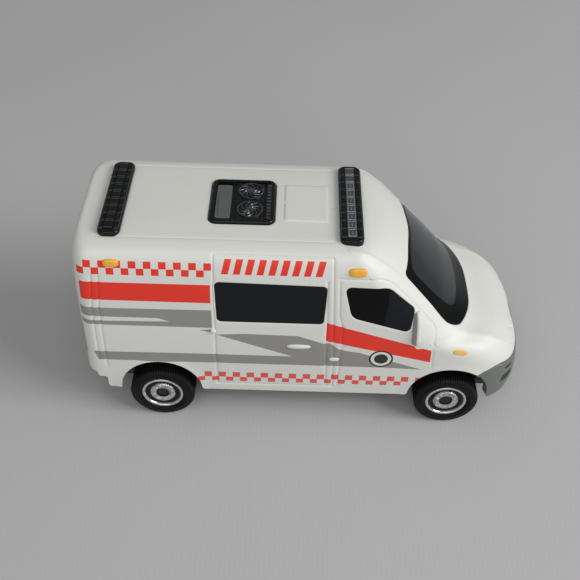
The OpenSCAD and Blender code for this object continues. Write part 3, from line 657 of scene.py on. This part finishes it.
DOOR = [(-14.85, 8.2), (-14.85, 35.3), (3.5, 35.2), (4.2, 19.8), (4.6, 8.2)]
CAB_DOOR = [(4.6, 32.05), (10.2, 32.05), (11.2, 31.8), (12.1, 31.3), (13.4, 30.25), (15.4, 28.1),
            (18.6, 24.35), (20.2, 22.4), (20.7, 21.4), (20.5, 19.6), (20.45, 18.0), (20.55, 16.5),
            (20.8, 13.9)]
cast_lines = [DOOR, [(2.75, 31.6), (3.1, 19.8), (3.4, 8.2)], [(-14.85, 8.2), (4.6, 8.2)],
              [(4.6, 32.05), (4.9, 24.9), (5.6, 22.2), (5.4, 8.6)], CAB_DOOR,
              [(-33.1, 12.0), (-32.9, 25.0), (-32.4, 31.5)], [(-34.2, 14.0), (-34.05, 25.0), (-33.5, 31.5)]]
HEADLAMP = [(4.4, 13.9), (8.6, 14.1), (9.2, 15.3), (5.6, 15.3), (4.4, 13.9)]
rear_lines = [[(0.02, 11.2), (0.02, 33.5)], [(0.2, 11.2), (11.2, 11.2), (11.2, 33.0), (0.2, 33.5)]]
paths = [rolled(side_uz(dense(p, 0.3, False))) for p in cast_lines]
paths += [rolled(tail_uz(dense(p, 0.6, False))) for p in rear_lines]
paths.append(rolled(nose_uz(dense(HEADLAMP, 0.6, False))))

# Two soft creases stand proud: the edge of the bonnet and the shoulder from roof to screen pillar.
BONNET = [(0.52, 19.7), (0.47, 18.8), (0.451, 18.2), (0.445, 17.47), (0.43, 16.46), (0.36, 14.5)]
SHOULDER = [(0.95, 35.86), (0.84, 35.8), (0.694, 35.5), (0.641, 34.67), (0.615, 33.66), (0.595, 32.24),
            (0.586, 31.0)]
creases = [(dense(rolled(np.array(BONNET)), 0.6, False), 0.17, 0.85),
           (dense(rolled(np.array(SHOULDER)), 0.6, False), 0.12, 0.4)]

LINE_DEPTH, LINE_WIDTH = 0.13, 0.13
ARCH_SWELL, ARCH_FADE, CROWN_FADE = 0.14, 0.9, 0.25
guides = paths + [line for line, _, _ in creases]
flat, faces, middle = triangulated(skin_outline, skin_holes, [m for _, m in prints], guides, 0.55)
u, z = unrolled(flat)
skin = skin_point(u, z)
out = normals(u, z)
cut = LINE_DEPTH * np.exp(-(to_paths(flat, paths) / LINE_WIDTH) ** 2)
for line, high, wide in creases:
    cut -= high * np.exp(-(to_paths(flat, [line]) / wide) ** 2)
for x in (FRONT_X, REAR_X):
    ring_d = np.hypot(skin[:, 0] - x, skin[:, 2] - ARCH_Z) - ARCH_R
    swell = ARCH_SWELL * np.clip(1 - ring_d / ARCH_FADE, 0, 1) ** 0.5
    cut -= np.where((ring_d < ARCH_FADE) & (skin[:, 1] > 8), swell, 0)
cut = cut * np.clip((CROWN - z) / CROWN_FADE, 0, 1)
skin = skin - out * cut[:, None]
mark = np.zeros(len(faces), int)
for m, polygon in prints:
    mark[inside(middle, polygon)] = m
body = Piece()
body.add(skin, faces, mark)


def lip_rings(ring_at, deep, lip=WINDOW_LIP, point=skin_point, normal=normals):
    """Rows of points round an opening: over its rounded lip, then straight in."""
    rings = []
    for a in np.radians(np.linspace(0, 90, 6)):
        uz = ring_at(lip * (1 - math.sin(a)))
        rings.append(point(*uz.T) - normal(*uz.T) * lip * (1 - math.cos(a)))
    uz = ring_at(0)
    return rings + [point(*uz.T) - normal(*uz.T) * deep]


for place, window in ((side_uz, saloon), (side_uz, cab), (tail_uz, rear)):
    body.strips(lip_rings(lambda g: place(opening(window, g)), WALL))
body.strips(lip_rings(lambda g: nose_uz(screen_half(g)), WALL), closed=False)
edge_n = normals(*low_edge.T)
edge_p = skin_point(*low_edge.T)
for x in (FRONT_X, REAR_X):
    on_arch = np.abs(np.hypot(edge_p[:, 0] - x, edge_p[:, 2] - ARCH_Z) - ARCH_R) < 0.05
    edge_p = edge_p + edge_n * np.where(on_arch, ARCH_SWELL, 0)[:, None]
body.strips([edge_p, edge_p - edge_n * 0.1 + (0, 0, 0.02), edge_p - edge_n * WALL], closed=False)

# Crown of the roof, inside the crease, with the seat for the vent and a cast panel ahead of it.
VENT_X, VENT_L, VENT_W, VENT_R = -0.146 * BODY_L, 10.3, 11.0, 1.2
SEAT_GAP, SEAT_LIP, SEAT_DEPTH = 0.08, 0.24, 0.9
CREASE_Y, CREASE_FRONT, CREASE_REAR, CREASE_DEPTH, CREASE_SOFT = 9.1, 3.4, -33.0, 0.08, 0.14
PANEL_FRONT, PANEL_REAR, PANEL_Y, PANEL_RISE, PANEL_EDGE = 2.6, -4.2, 4.5, 0.14, 0.06
panel_line = [(PANEL_FRONT, 0.4), (PANEL_FRONT, PANEL_Y), (PANEL_REAR, PANEL_Y), (PANEL_REAR, 0.4)]
roof_lines = [dense(panel_line, 0.6, False),
              dense([(CREASE_FRONT, CREASE_Y), (CREASE_REAR, CREASE_Y)], 0.6, False)]
crown_ring = skin_point(*crown_edge.T)
crown_mid = np.array([(crown_ring[0, 0] + crown_ring[-1, 0]) / 2, 0])
spoke = crown_ring[:, :2] - crown_mid
spoke_angle, spoke_len = np.arctan2(spoke[:, 1], spoke[:, 0]), np.hypot(*spoke.T)


def crown_point(x, y):
    """The crown above a place, with the raised panel and the crease along its side."""
    share = np.hypot(x - crown_mid[0], y) / np.interp(np.arctan2(y, x - crown_mid[0]), spoke_angle, spoke_len)
    along = np.abs(x - (PANEL_FRONT + PANEL_REAR) / 2) - (PANEL_FRONT - PANEL_REAR) / 2
    panel = np.maximum(along, np.abs(y) - PANEL_Y)
    raised = PANEL_RISE / (1 + np.exp(np.clip(panel / PANEL_EDGE, -40, 40)))
    beyond = np.maximum(x - CREASE_FRONT, CREASE_REAR - x)
    crease = np.maximum(np.abs(y - CREASE_Y), beyond)
    raised = raised - CREASE_DEPTH * np.exp(-(crease / CREASE_SOFT) ** 2)
    return columns(x, y, CROWN + (ROOF_H - CROWN) * (1 - share ** 2) + raised)


def crown_up(x, y):
    """The way out from the crown, straight up."""
    return columns(0 * x, 0 * x, 1 + 0 * x)


def seat_line(length, width, r):
    """Middles and ways out of a rounded half outline, from front to rear."""
    arc = np.radians(np.linspace(0, 90, 9))
    a, b = length / 2 - r, width / 2 - r
    front = columns(np.cos(arc), np.sin(arc))
    behind = columns(-np.sin(arc), np.cos(arc))
    middle = np.concatenate([[(a, 0)], np.tile((a, b), (9, 1)), np.tile((-a, b), (9, 1)), [(-a, 0)]])
    return middle, np.concatenate([[(1, 0)], front, behind, [(-1, 0)]])


def vent_seat(grow):
    """The left-hand half of the rounded seat in the roof, from front to rear."""
    middle, away = seat_line(VENT_L, VENT_W, VENT_R)
    base, line = middle + away * VENT_R, middle + away * (VENT_R + grow)
    points = []
    for i in range(len(line) - 1):
        n = max(1, math.ceil(np.linalg.norm(base[i + 1] - base[i]) / 0.6))
        points += [line[i] + (line[i + 1] - line[i]) * k / n for k in range(n)]
    return np.array(points + [line[-1]]) + (VENT_X, 0)


ends = [[(crown_ring[-1, 0], 0)], [(crown_ring[0, 0], 0)]]
inner = np.concatenate([ends[0], vent_seat(SEAT_GAP + SEAT_LIP)[::-1], ends[1]])
roof_outline = np.concatenate([crown_ring[:, :2], dense(inner, 0.6, False)[1:-1]])
flat, faces, middle = triangulated(roof_outline, [], [], roof_lines, 0.55)
body.add(crown_point(*flat.T), faces)
seat_rings = lip_rings(lambda g: vent_seat(SEAT_GAP + g), SEAT_DEPTH, SEAT_LIP, crown_point, crown_up)
body.strips(seat_rings, closed=False)
body.mirrored()

coated = {"Coat Weight": 0.1, "Coat Roughness": 0.25}
white_enamel = finish("white_enamel", (215, 216, 210), 0.47, 0.03, 0.12, 260, 0.000002, coated)
red_ink = finish("red_ink", (226, 50, 31), 0.42, 0.08, scale=500)
pale_red_ink = finish("pale_red_ink", (218, 86, 74), 0.42, 0.15, scale=700)
grey_ink = finish("grey_ink", (140, 139, 135), 0.42, 0.05, scale=500)
black_ink = finish("black_ink", (36, 36, 38), 0.45, 0.2, scale=500)
tail_red = finish("tail_red", (150, 22, 18), 0.2, scale=900, sockets={"Coat Weight": 0.6})
body_finishes = [white_enamel, red_ink, pale_red_ink, grey_ink, black_ink, tail_red]
body.build("body_shell_skin", body_finishes, "white_paint", "van", "body_shell", crisp=75)

# Cast-on details of the shell: door handles, door mirrors and side lamps. Mirrors and handles
# are white enamel, the mirrors' rear faces a grey that is painted shade; the lamps are amber pips.


def bow(v, power):
    """A sine or cosine bent to make a circle squarer."""
    return np.sign(v) * np.abs(v) ** (2 / power)


def pebble(piece, centre, size, power=2.6, mark=0, rows=14, cols=28):
    """A closed rounded pip: half sizes along x, y and z, squarer with a higher power."""
    lat = np.linspace(-math.pi / 2, math.pi / 2, rows)
    lon = np.linspace(0, 2 * math.pi, cols, endpoint=False)
    rings = []
    for a in lat:
        wide, high = float(bow(np.cos(a), power)), float(bow(np.sin(a), power))
        p = [size[0] * wide * bow(np.cos(lon), power), size[1] * wide * bow(np.sin(lon), power)]
        rings.append(np.stack(p + [np.full(cols, size[2] * high)], -1) + centre)
    piece.strips(rings, True, mark)


def wall_pip(piece, x, z, size, high, power=3, mark=0, tilt=0):
    """A low lens that follows the curve of the wall; size is half of its length and height."""
    lon = np.linspace(0, 2 * math.pi, 40, endpoint=False)
    shape = columns(bow(np.cos(lon), power), bow(np.sin(lon), power)) * size
    shape[:, 1] += tilt * shape[:, 0]
    rings = []
    for r in (0.02, 0.3, 0.55, 0.75, 0.88, 0.95, 0.985, 1):
        uz = side_uz(shape * r + (x, z))
        rings.append(skin_point(*uz.T) + normals(*uz.T) * (high * (1 - r ** 5) ** 0.5 - 0.05))
    piece.strips(rings, True, mark)
    piece.add(rings[0], [tuple(range(40))], mark)


def wall_place(x, z, out_by):
    """A point on the side wall, or out from it."""
    uz = side_uz([(x, z)])
    return skin_point(*uz.T)[0] + normals(*uz.T)[0] * out_by


handles = Piece()
HANDLES = [(-1.35, 18.15, 0.06, (1.95, 0.34, 0.42), 2.3), (4.55, 15.3, 0.04, (0.85, 0.28, 0.36), 2.3),
           (-15.1, 21.0, 0.0, (0.45, 0.3, 0.5), 2.2)]
for x, z, out_by, half_sizes, power in HANDLES:
    pebble(handles, wall_place(x, z, out_by), half_sizes, power)
handles.mirrored()
handles.build("door_handles", [white_enamel], "white_paint", "van")

MIRROR = np.array([(-0.95, -0.2), (-0.55, 0.35), (0.1, 1.05), (0.45, 1.15), (0.7, 1.0), (0.8, 0.5),
                   (0.85, -0.2)])
MIRROR_X, MIRROR_LOW, MIRROR_H, MIRROR_SUNK = 17.35, 19.4, 6.0, 1.0
rings = []
for t in np.linspace(0, 1, 25):
    zc = MIRROR_LOW + MIRROR_H * t
    fat = max((1 - abs(2 * t - 1) ** 4) ** 0.25, 0.04) * (1 - 0.25 * t)
    foot = wall_place(MIRROR_X - 0.25 * t, zc, 0)
    reach = np.where(MIRROR[:, 1] < 0, -MIRROR_SUNK, MIRROR[:, 1] * fat)
    row = [foot[0] + MIRROR[:, 0] * (0.4 + 0.6 * fat), foot[1] + reach, np.full(len(MIRROR), zc)]
    rings.append(np.stack(row, -1))
mirrors = Piece()
# The first three points of each row make the rear faces, painted grey as shade on the side turned from the
# light.
mirrors.strips([r[:3] for r in rings], False, 1)
mirrors.strips([r[2:] for r in rings], False, 0)
mirrors.mirrored()
mirror_painted_shade = finish("mirror_painted_shade", (148, 145, 140), 0.4, 0.15, scale=500)
mirrors.build("door_mirrors", [white_enamel, mirror_painted_shade], "white_paint", "van")

lamp_coat = {"Coat Weight": 0.6, "Coat Roughness": 0.08}
amber = finish("amber_paint", (236, 172, 46), 0.25, 0.25, scale=1200, sockets=lamp_coat)
pale_amber = finish("pale_amber_paint", (228, 182, 92), 0.35, 0.25, scale=1200)
lamps = Piece()
LAMPS = [(7.25, 33.28, (1.42, 0.72), 0.42, 0, 0), (-30.3, 33.75, (1.25, 0.6), 0.4, 0, 0),
         (25.05, 17.45, (1.25, 0.5), 0.16, 1, -0.2)]
for x, z, half_sizes, high, tone, tilt in LAMPS:
    wall_pip(lamps, x, z, half_sizes, high, mark=tone, tilt=tilt)
lamps.mirrored()
lamps.build("side_lamps", [amber, pale_amber], "white_paint", "van")

# Panes: smoke-tinted clear plastic, moulded to the curve of the body and pushed into the
# openings from inside, so each sits a little behind the lip of the casting.
PANE_RECESS, PANE_T, PANE_GAP = 0.06, 0.75, 0.04


def pane(name, window, place, sides, finishes, *areas):
    """One pane, or a left and right pair; each area is an outline that takes the next finish."""
    rim = opening(window, -PANE_GAP)
    flat, faces, middle = triangulated(rim, [], [dense(a, 0.6) for a in areas], [], 0.8, thin=0.0003)
    tint = np.zeros(len(faces), int)
    for k, a in enumerate(areas):
        tint[inside(middle, np.array(a, float))] = k + 1
    uz = place(flat if place is side_uz else np.abs(flat))
    way = normals(*uz.T)
    for s in sides:
        hand = np.where(flat[:, 0] < 0, -1, 1) if place is nose_uz else np.full(len(flat), s)
        turn = columns(1, hand, 1)
        front = (skin_point(*uz.T) - way * PANE_RECESS) * turn
        behind = (skin_point(*uz.T) - way * (PANE_RECESS + PANE_T)) * turn
        p = Piece()
        p.add(front, faces, tint)
        p.add(behind, faces[:, ::-1], tint)
        p.strips([front[:len(rim)], behind[:len(rim)]])
        node = name if len(sides) == 1 else name + ("_left" if s > 0 else "_right")
        p.build(node + "_pane", finishes, "smoke_plastic", "van", node)


dull = {"IOR": 1.45, "Specular IOR Level": 0.16}
smoke_pane = finish("smoke_pane", (24, 26, 29), 0.2, 0.2, 0.06, 200, 0.000001, dull)
smoke_pane_deep = finish("smoke_pane_deep", (7, 8, 10), 0.26, 0.2, 0.06, 200, 0.000001, dull)
smoke_pane_painted_sheen = finish("smoke_pane_painted_sheen", (36, 39, 43), 0.14, 0.2, 0.06, 200, 0.000001, {"IOR": 1.45})
# The windscreen's middle is a paler, glossier smoke, a painted reflection of the room's light on the sloping
# screen; the band round it is darker smoke.
SCREEN_SHEEN_AREA = [(8.0, 29.95), (4.26, 31.2), (-4.26, 31.2), (-8.0, 29.95), (-8.35, 25.5), (-7.9, 22.2),
                (7.9, 22.2), (8.35, 25.5)]
screen_sheen_area = rounded(SCREEN_SHEEN_AREA, 0.25, wide=(1.5, 8, 8, 1.5, 8, 1.2, 1.2, 8))
CAB_FRONT = [(12.6, 31.5), (12.0, 22), (17, 22), (17, 31.5)]
pane("windscreen", screen, nose_uz, (1,), [smoke_pane_deep, smoke_pane_painted_sheen], screen_sheen_area)
pane("cab_window", cab, side_uz, (1, -1), [smoke_pane_deep, smoke_pane], CAB_FRONT)
pane("saloon_window", saloon, side_uz, (1, -1), [smoke_pane])
pane("rear_window", rear, tail_uz, (1, -1), [smoke_pane])

# Front bumper: a grey plastic moulding that wraps the nose from arch to arch under the white
# casting, with a rounded upper edge, a pressed line below it, lamp pockets and a lower grille.
BUMPER_LOW, PROUD, BUMPER_LIP, BUMPER_GAP = 5.1, 0.1, 0.32, 0.2
PRESS_DROP, PRESS_DEPTH, PRESS_WIDTH, POCKET_DEPTH = 1.5, 0.1, 0.15, 0.3
TOP_RETURN, RIM_RETURN, RIM_EDGE = 0.9, 1.4, 0.12
top_line = bumper_line(-BUMPER_GAP - BUMPER_LIP, 70)
arch_side = arch(FRONT_X, joint_angle - 6.5, sill_angle, 30)
arch_side = arch_side[arch_side[:, 1] < top_line[-1, 1] - 0.05]
drop = side_uz(dense([(FRONT_X + ARCH_R, SILL - 0.2), (FRONT_X + ARCH_R + 0.4, BUMPER_LOW)], 0.4, False))
low_line = columns(np.linspace(float(drop[-1, 0]), 0, 60), BUMPER_LOW)[1:]
front_line = columns(0, np.linspace(BUMPER_LOW, top_line[0, 1], 12))[1:-1]
bumper_loop = np.concatenate([top_line, arch_side, drop, low_line, front_line])
POCKETS = [([(10.3, 8.4), (11.7, 8.5), (11.6, 9.6), (10.3, 9.4)], 0.4),
           ([(10.4, 11.1), (11.4, 11.3), (11.4, 11.5), (10.4, 11.3)], 0.2),
           ([(0.6, 5.75), (5.4, 5.75), (5.4, 5.95), (0.6, 5.95)], 0.15),
           ([(0.6, 6.75), (5.4, 6.75), (5.4, 6.95), (0.6, 6.95)], 0.15)]
POCKET_STEPS = (0, 0.04, 0.08)
floors, between, brinks = [[rolled(nose_uz(dense(rounded(c, r + grow), 0.5))) for c, r in POCKETS]
                           for grow in POCKET_STEPS]
press = rolled(bumper_line(-PRESS_DROP, 60)[4:-3])
flat, faces, middle = triangulated(rolled(bumper_loop), [], floors + brinks, [press], 0.45, 0.2)
u, z = unrolled(flat)
out = normals(u, z)
sunk = PRESS_DEPTH * np.exp(-(to_paths(flat, [press]) / PRESS_WIDTH) ** 2)
mark = np.zeros(len(faces), int)
# The floors of the lamp pockets and grille slots take a dark grey: painted shade in the recesses.
for polygon in between:
    sunk += POCKET_DEPTH * inside(flat, polygon)
    mark[inside(middle, polygon)] = 1
shell = skin_point(u, z) + out * (PROUD - sunk)[:, None]
bumper = Piece()
bumper.add(shell, faces, mark)
even_u = np.linspace(0, top_line[-1, 0], 70)
rings = []
for a in np.radians(np.linspace(0, 90, 6)):
    line = bumper_line(-BUMPER_GAP - BUMPER_LIP * (1 - math.sin(a)), 70)
    line = columns(even_u, np.interp(even_u, line[:, 0], line[:, 1]))
    rings.append(skin_point(*line.T) + normals(*line.T) * (PROUD - BUMPER_LIP * (1 - math.cos(a))))
rings.append(rings[-1] - normals(*top_line.T) * TOP_RETURN)
bumper.strips(rings[::-1], closed=False)
rim = np.concatenate([arch_side, drop, low_line])
rim_n = normals(*rim.T)
outer = skin_point(*rim.T) + rim_n * PROUD
bumper.strips([outer - rim_n * RIM_RETURN, outer - rim_n * RIM_EDGE, outer], closed=False)
bumper.mirrored()
bumper_plastic = finish("bumper_plastic", (104, 108, 101), 0.42, 0.06, scale=700, peel=0.000006)
recess_painted_shade = finish("recess_painted_shade", (46, 47, 46), 0.5, 0.2, scale=700)
bumper.build("front_bumper_moulding", [bumper_plastic, recess_painted_shade], "grey_plastic", "van", "front_bumper")

# Roof light bars: smoke plastic mouldings with rounded ends, each a dark tray that holds a
# row of blocks along both sides and a ribbed strip of lens down the middle, pegged to the roof.
BAR_TOP, BAR_R, BLOCKS = ROOF_H + 0.8, 1.2, 9


def tablet(piece, x, y, length, width, r, low, high, soft, mark=0):
    """A rounded slab with a soft upper edge."""
    a, b = length / 2 - r, width / 2 - r
    corners = [(-a, -b), (a, -b), (a, b), (-a, b)]
    levels = [(0, low)]
    for t in np.radians(np.linspace(0, 90, 5)):
        levels.append((-soft * (1 - math.cos(t)), high - soft * (1 - math.sin(t))))
    rings = []
    for grow, h in levels + [(-soft - 0.02, high)]:
        p = rounded(corners, r + grow, 5) + (x, y)
        rings.append(np.concatenate([p, np.full((len(p), 1), h)], 1))
    piece.strips(rings, True, mark)
    piece.add(rings[-1], [tuple(range(len(rings[-1])))], mark)


def light_bar(name, x, wide, long, plain, finishes):
    """Finishes are for tray, edges, lens tiles and lens ribs; edges and ribs are lighter, as painted
    highlights and glints. The last few tiles are plain.
    """
    bar = Piece()
    pitch = (long - 1.7) / BLOCKS
    strip, side = 0.4 * wide, 0.325 * wide
    seat, deck = BAR_TOP - 0.5, BAR_TOP - 0.3
    tablet(bar, x, 0, wide, long, BAR_R, CROWN - 0.35, deck, 0.3)
    for s in (-1, 1):
        tablet(bar, x + s * 0.43 * wide, 0, 0.1, long - 2.0, 0.03, seat, BAR_TOP - 0.14, 0.03, 1)
    for k in range(BLOCKS):
        y = (k - (BLOCKS - 1) / 2) * pitch
        for s in (-1, 1):
            xs, ye = x + s * side, y + s * (pitch / 2 - 0.2)
            tablet(bar, xs, y, 0.17 * wide, pitch - 0.36, 0.2, seat, BAR_TOP - 0.04, 0.2)
            tablet(bar, xs, y - pitch / 2, 0.19 * wide, 0.12, 0.04, seat, BAR_TOP - 0.1, 0.04, 1)
            tablet(bar, x, ye, strip - 0.1, 0.12, 0.04, deck, BAR_TOP - 0.04, 0.04, 3)
        tablet(bar, x, y, strip, pitch - 0.2, 0.12, seat, BAR_TOP - 0.12, 0.08, 2)
        ribs = (-1, 0, 1) if k < BLOCKS - plain else ()
        for g in ribs:
            length = pitch * (0.6 if g else 0.35)
            tablet(bar, x + g * 0.36 * strip, y, 0.15, length, 0.05, deck, BAR_TOP, 0.05, 3)
    bar.build(name + "_lens", finishes, "smoke_plastic", "van", name)


glassy = {"Coat Weight": 0.6, "Coat Roughness": 0.05}
smoke_black = finish("smoke_black", (10, 11, 13), 0.2, 0.3, 0.12, 600, sockets={"Specular IOR Level": 0.3})
# The relief smoke is lighter than the tray and the rib grey paler still: painted highlights and glints on
# raised edges, separators and ribs.
relief_painted_highlight = finish("relief_painted_highlight", (42, 45, 48), 0.15, 0.3, 0.15, 1500, sockets=glassy)
smoke_lens = finish("smoke_lens", (58, 62, 66), 0.14, 0.35, 0.1, 1600, sockets=glassy)
rib_painted_glint = finish("rib_painted_glint", (128, 134, 138), 0.14, 1.6, 0.1, 2200, sockets=glassy)
light_bar("front_light_bar", 6.25, 3.7, 19.4, 2, [smoke_black, relief_painted_highlight, smoke_lens, rib_painted_glint])
light_bar("rear_light_bar", -31.0, 3.5, 18.4, 9, [smoke_black, relief_painted_highlight, smoke_black, relief_painted_highlight])

# Roof vent: a smoke plastic hatch in a rounded opening, with a sunk flat panel at the rear,
# a raised block with two round swirl fans, and a ridged strip at its front edge.
VENT_TOP = ROOF_H + 0.3
FAN_X, FAN_Y, FAN_R, BLADES = VENT_X + 1.25, 2.35, 2.05, 9
RIDGES, RIDGE_PITCH = 11, 0.82
va, vb = VENT_L / 2 - VENT_R, VENT_W / 2 - VENT_R
arc = np.linspace(0, 2 * math.pi, 49)[:-1]


def vent_ring(grow, h):
    """The hatch's outline, grown and lifted."""
    p = rounded([(-va, -vb), (va, -vb), (va, vb), (-va, vb)], VENT_R + grow, 8) + (VENT_X, 0)
    return np.concatenate([p, np.full((len(p), 1), VENT_TOP + h)], 1)


def hoop(s, r, h):
    """A circle about the middle of a fan."""
    return columns(FAN_X + r * np.cos(arc), s * FAN_Y + r * np.sin(arc), VENT_TOP + h)


vent = Piece()
hatch = [(0, CROWN - 0.6 - VENT_TOP), (0, -0.3), (-0.09, -0.09), (-0.3, 0), (-0.5, 0), (-0.72, -0.1),
         (-0.8, -0.5)]
vent.strips([vent_ring(grow, h) for grow, h in hatch])
well = vent_ring(-0.8, -0.5)
vent.add(well, [tuple(range(len(well)))])
tablet(vent, VENT_X - 3.1, 0, 2.5, 8.4, 0.4, VENT_TOP - 0.6, VENT_TOP - 0.3, 0.15, 1)
tablet(vent, VENT_X - 3.0, -0.9, 1.7, 5.6, 0.25, VENT_TOP - 0.4, VENT_TOP - 0.2, 0.08, 1)
tablet(vent, FAN_X - 0.05, 0, 4.5, 9.2, 0.4, VENT_TOP - 0.6, VENT_TOP - 0.12, 0.15)
for s in (-1, 1):
    rim = [(FAN_R, -0.2), (FAN_R, 0.08), (FAN_R - 0.1, 0.14), (FAN_R - 0.22, 0.08), (FAN_R - 0.25, -0.1)]
    vent.strips([hoop(s, r, h) for r, h in rim], True, 2)
    boss = [(0.5, -0.15), (0.48, 0.1), (0.36, 0.16), (0.02, 0.18)]
    vent.strips([hoop(s, r, h) for r, h in boss], True, 2)
    for k in range(BLADES):
        t = np.linspace(0, 1, 9)
        r = 0.42 + (FAN_R - 0.62) * t
        a = 2 * math.pi * k / BLADES + s * 1.1 * t
        c = columns(FAN_X + r * np.cos(a), s * FAN_Y + r * np.sin(a))
        wide = columns(-np.sin(a), np.cos(a)) * 0.14
        blade = [(-1.4, -0.15), (-0.7, 0.06), (0, 0.1), (0.7, 0.06), (1.4, -0.15)]
        rings = [np.concatenate([c + wide * w, np.full((len(t), 1), VENT_TOP + h)], 1) for w, h in blade]
        vent.strips(rings, False, 2)
for k in range(RIDGES):
    y = (k - RIDGES // 2) * RIDGE_PITCH
    tablet(vent, VENT_X + 4.15, y, 0.75, 0.5, 0.12, VENT_TOP - 0.6, VENT_TOP - 0.06, 0.12, 2)
smoke_panel = finish("smoke_panel", (80, 87, 87), 0.18, 0.12, scale=300, sockets=glassy)
# The fans, their rims and bosses and the front ridges are in the lighter relief smoke, a painted highlight on
# the raised relief.
vent.build("roof_vent_hatch", [smoke_black, smoke_panel, relief_painted_highlight], "smoke_plastic", "van", "roof_vent")

# Wheels: black tyres with a blocky tread, pressed on black plastic hubs. A hot-foiled bright
# ring and lug disc face the hub, and the headed axle end shows in its dark middle.
HALF_TRACK, AXLE_Z, TURNS, NOTCH = 14.7, 5.5, 240, 0.18
LUGS, LUG_RING, LUG_DEPTH, LUG_SIZE = 10, 1.6, 0.32, (0.19, 0.16, 0.19)
foiled = {"Metallic": 0.9}
tyre_rubber = finish("tyre_rubber", (17, 17, 18), 0.5, 0.25, scale=900, peel=0.000008,
                     sockets={"Specular IOR Level": 0.15})
hub_black = finish("hub_black", (16, 16, 17), 0.3, 0.2, scale=700, sockets={"Specular IOR Level": 0.3})
bright_foil = finish("bright_foil", (214, 214, 215), 0.2, 0.3, 0.2, 1200, sockets=foiled)
lug_foil = finish("lug_foil", (196, 196, 198), 0.2, 2.0, 0.3, 1500, 0.00004, foiled)


def turned(piece, profile, at, s, count, marks):
    """Turns rows of radius, depth and notch about the axle; s is the side the wheel faces."""
    a = np.linspace(0, 2 * math.pi, count, endpoint=False)
    rings = []
    for r, d, notch in profile:
        radius = r - NOTCH * ((np.arange(count) + notch) % 3 == 0) if notch else np.full(count, r)
        x, z = at[0] + radius * np.cos(a), AXLE_Z + s * radius * np.sin(a)
        rings.append(columns(x, s * (at[1] - d), z))
    piece.strips(rings, True, marks)


tread = [(3.63, 0.25, 0), (3.75, 0.06, 0), (4.1, 0.0, 0), (4.16, -0.05, 0), (4.3, -0.05, 0), (4.36, 0.0, 0),
         (4.9, 0.05, 0), (5.16, 0.16, 0), (5.3, 0.28, 3), (5.42, 0.45, 3), (5.5, 0.62, 3), (5.5, 1.75, 3),
         (5.34, 1.78, 0), (5.34, 1.92, 0), (5.5, 1.95, 1), (5.5, 2.9, 1), (5.34, 2.94, 0), (5.34, 3.06, 0),
         (5.5, 3.1, 3), (5.5, 3.6, 3), (5.42, 3.72, 3), (5.3, 3.9, 0), (4.9, 4.15, 0), (3.75, 4.2, 0),
         (3.63, 4.0, 0)]
hub_line = [(3.62, 2.0), (3.6, 0.5), (3.56, 0.28), (3.45, 0.2), (3.3, 0.17), (3.16, 0.2), (3.06, 0.3),
            (3.0, 0.62), (2.7, 0.78), (2.3, 0.74), (2.17, 0.6), (2.15, 0.4), (2.08, 0.32), (1.9, 0.3),
            (1.25, 0.33), (1.14, 0.4), (1.1, 0.8), (1.02, 1.0), (0.6, 1.0), (0.1, 1.0)]
hub_finishes = [hub_black, bright_foil, lug_foil]
hub_marks = [0] * 2 + [1] * 5 + [0] * 3 + [2] * 5 + [0] * 4
for end, x in (("front", FRONT_X), ("rear", REAR_X)):
    for way, s in (("right", -1), ("left", 1)):
        corner = end + "_" + way
        wheel = corner + "_wheel"
        tyre = Piece()
        turned(tyre, tread, (x, HALF_TRACK), s, TURNS, 0)
        tyre.build(corner + "_tyre_rubber", [tyre_rubber], "tyre_black", wheel, corner + "_tyre")
        hub = Piece()
        turned(hub, [(r, d, 0) for r, d in hub_line], (x, HALF_TRACK), s, 64, hub_marks)
        for k in range(LUGS):
            a = 2 * math.pi * (k + 0.5) / LUGS
            across, up = LUG_RING * math.cos(a), LUG_RING * math.sin(a)
            centre = np.array([x + across, s * (HALF_TRACK - LUG_DEPTH), AXLE_Z + up])
            pebble(hub, centre, LUG_SIZE, 2.2, 2, 7, 12)
        hub.build(corner + "_hub_face", hub_finishes, "hub_plastic", wheel, corner + "_hub")
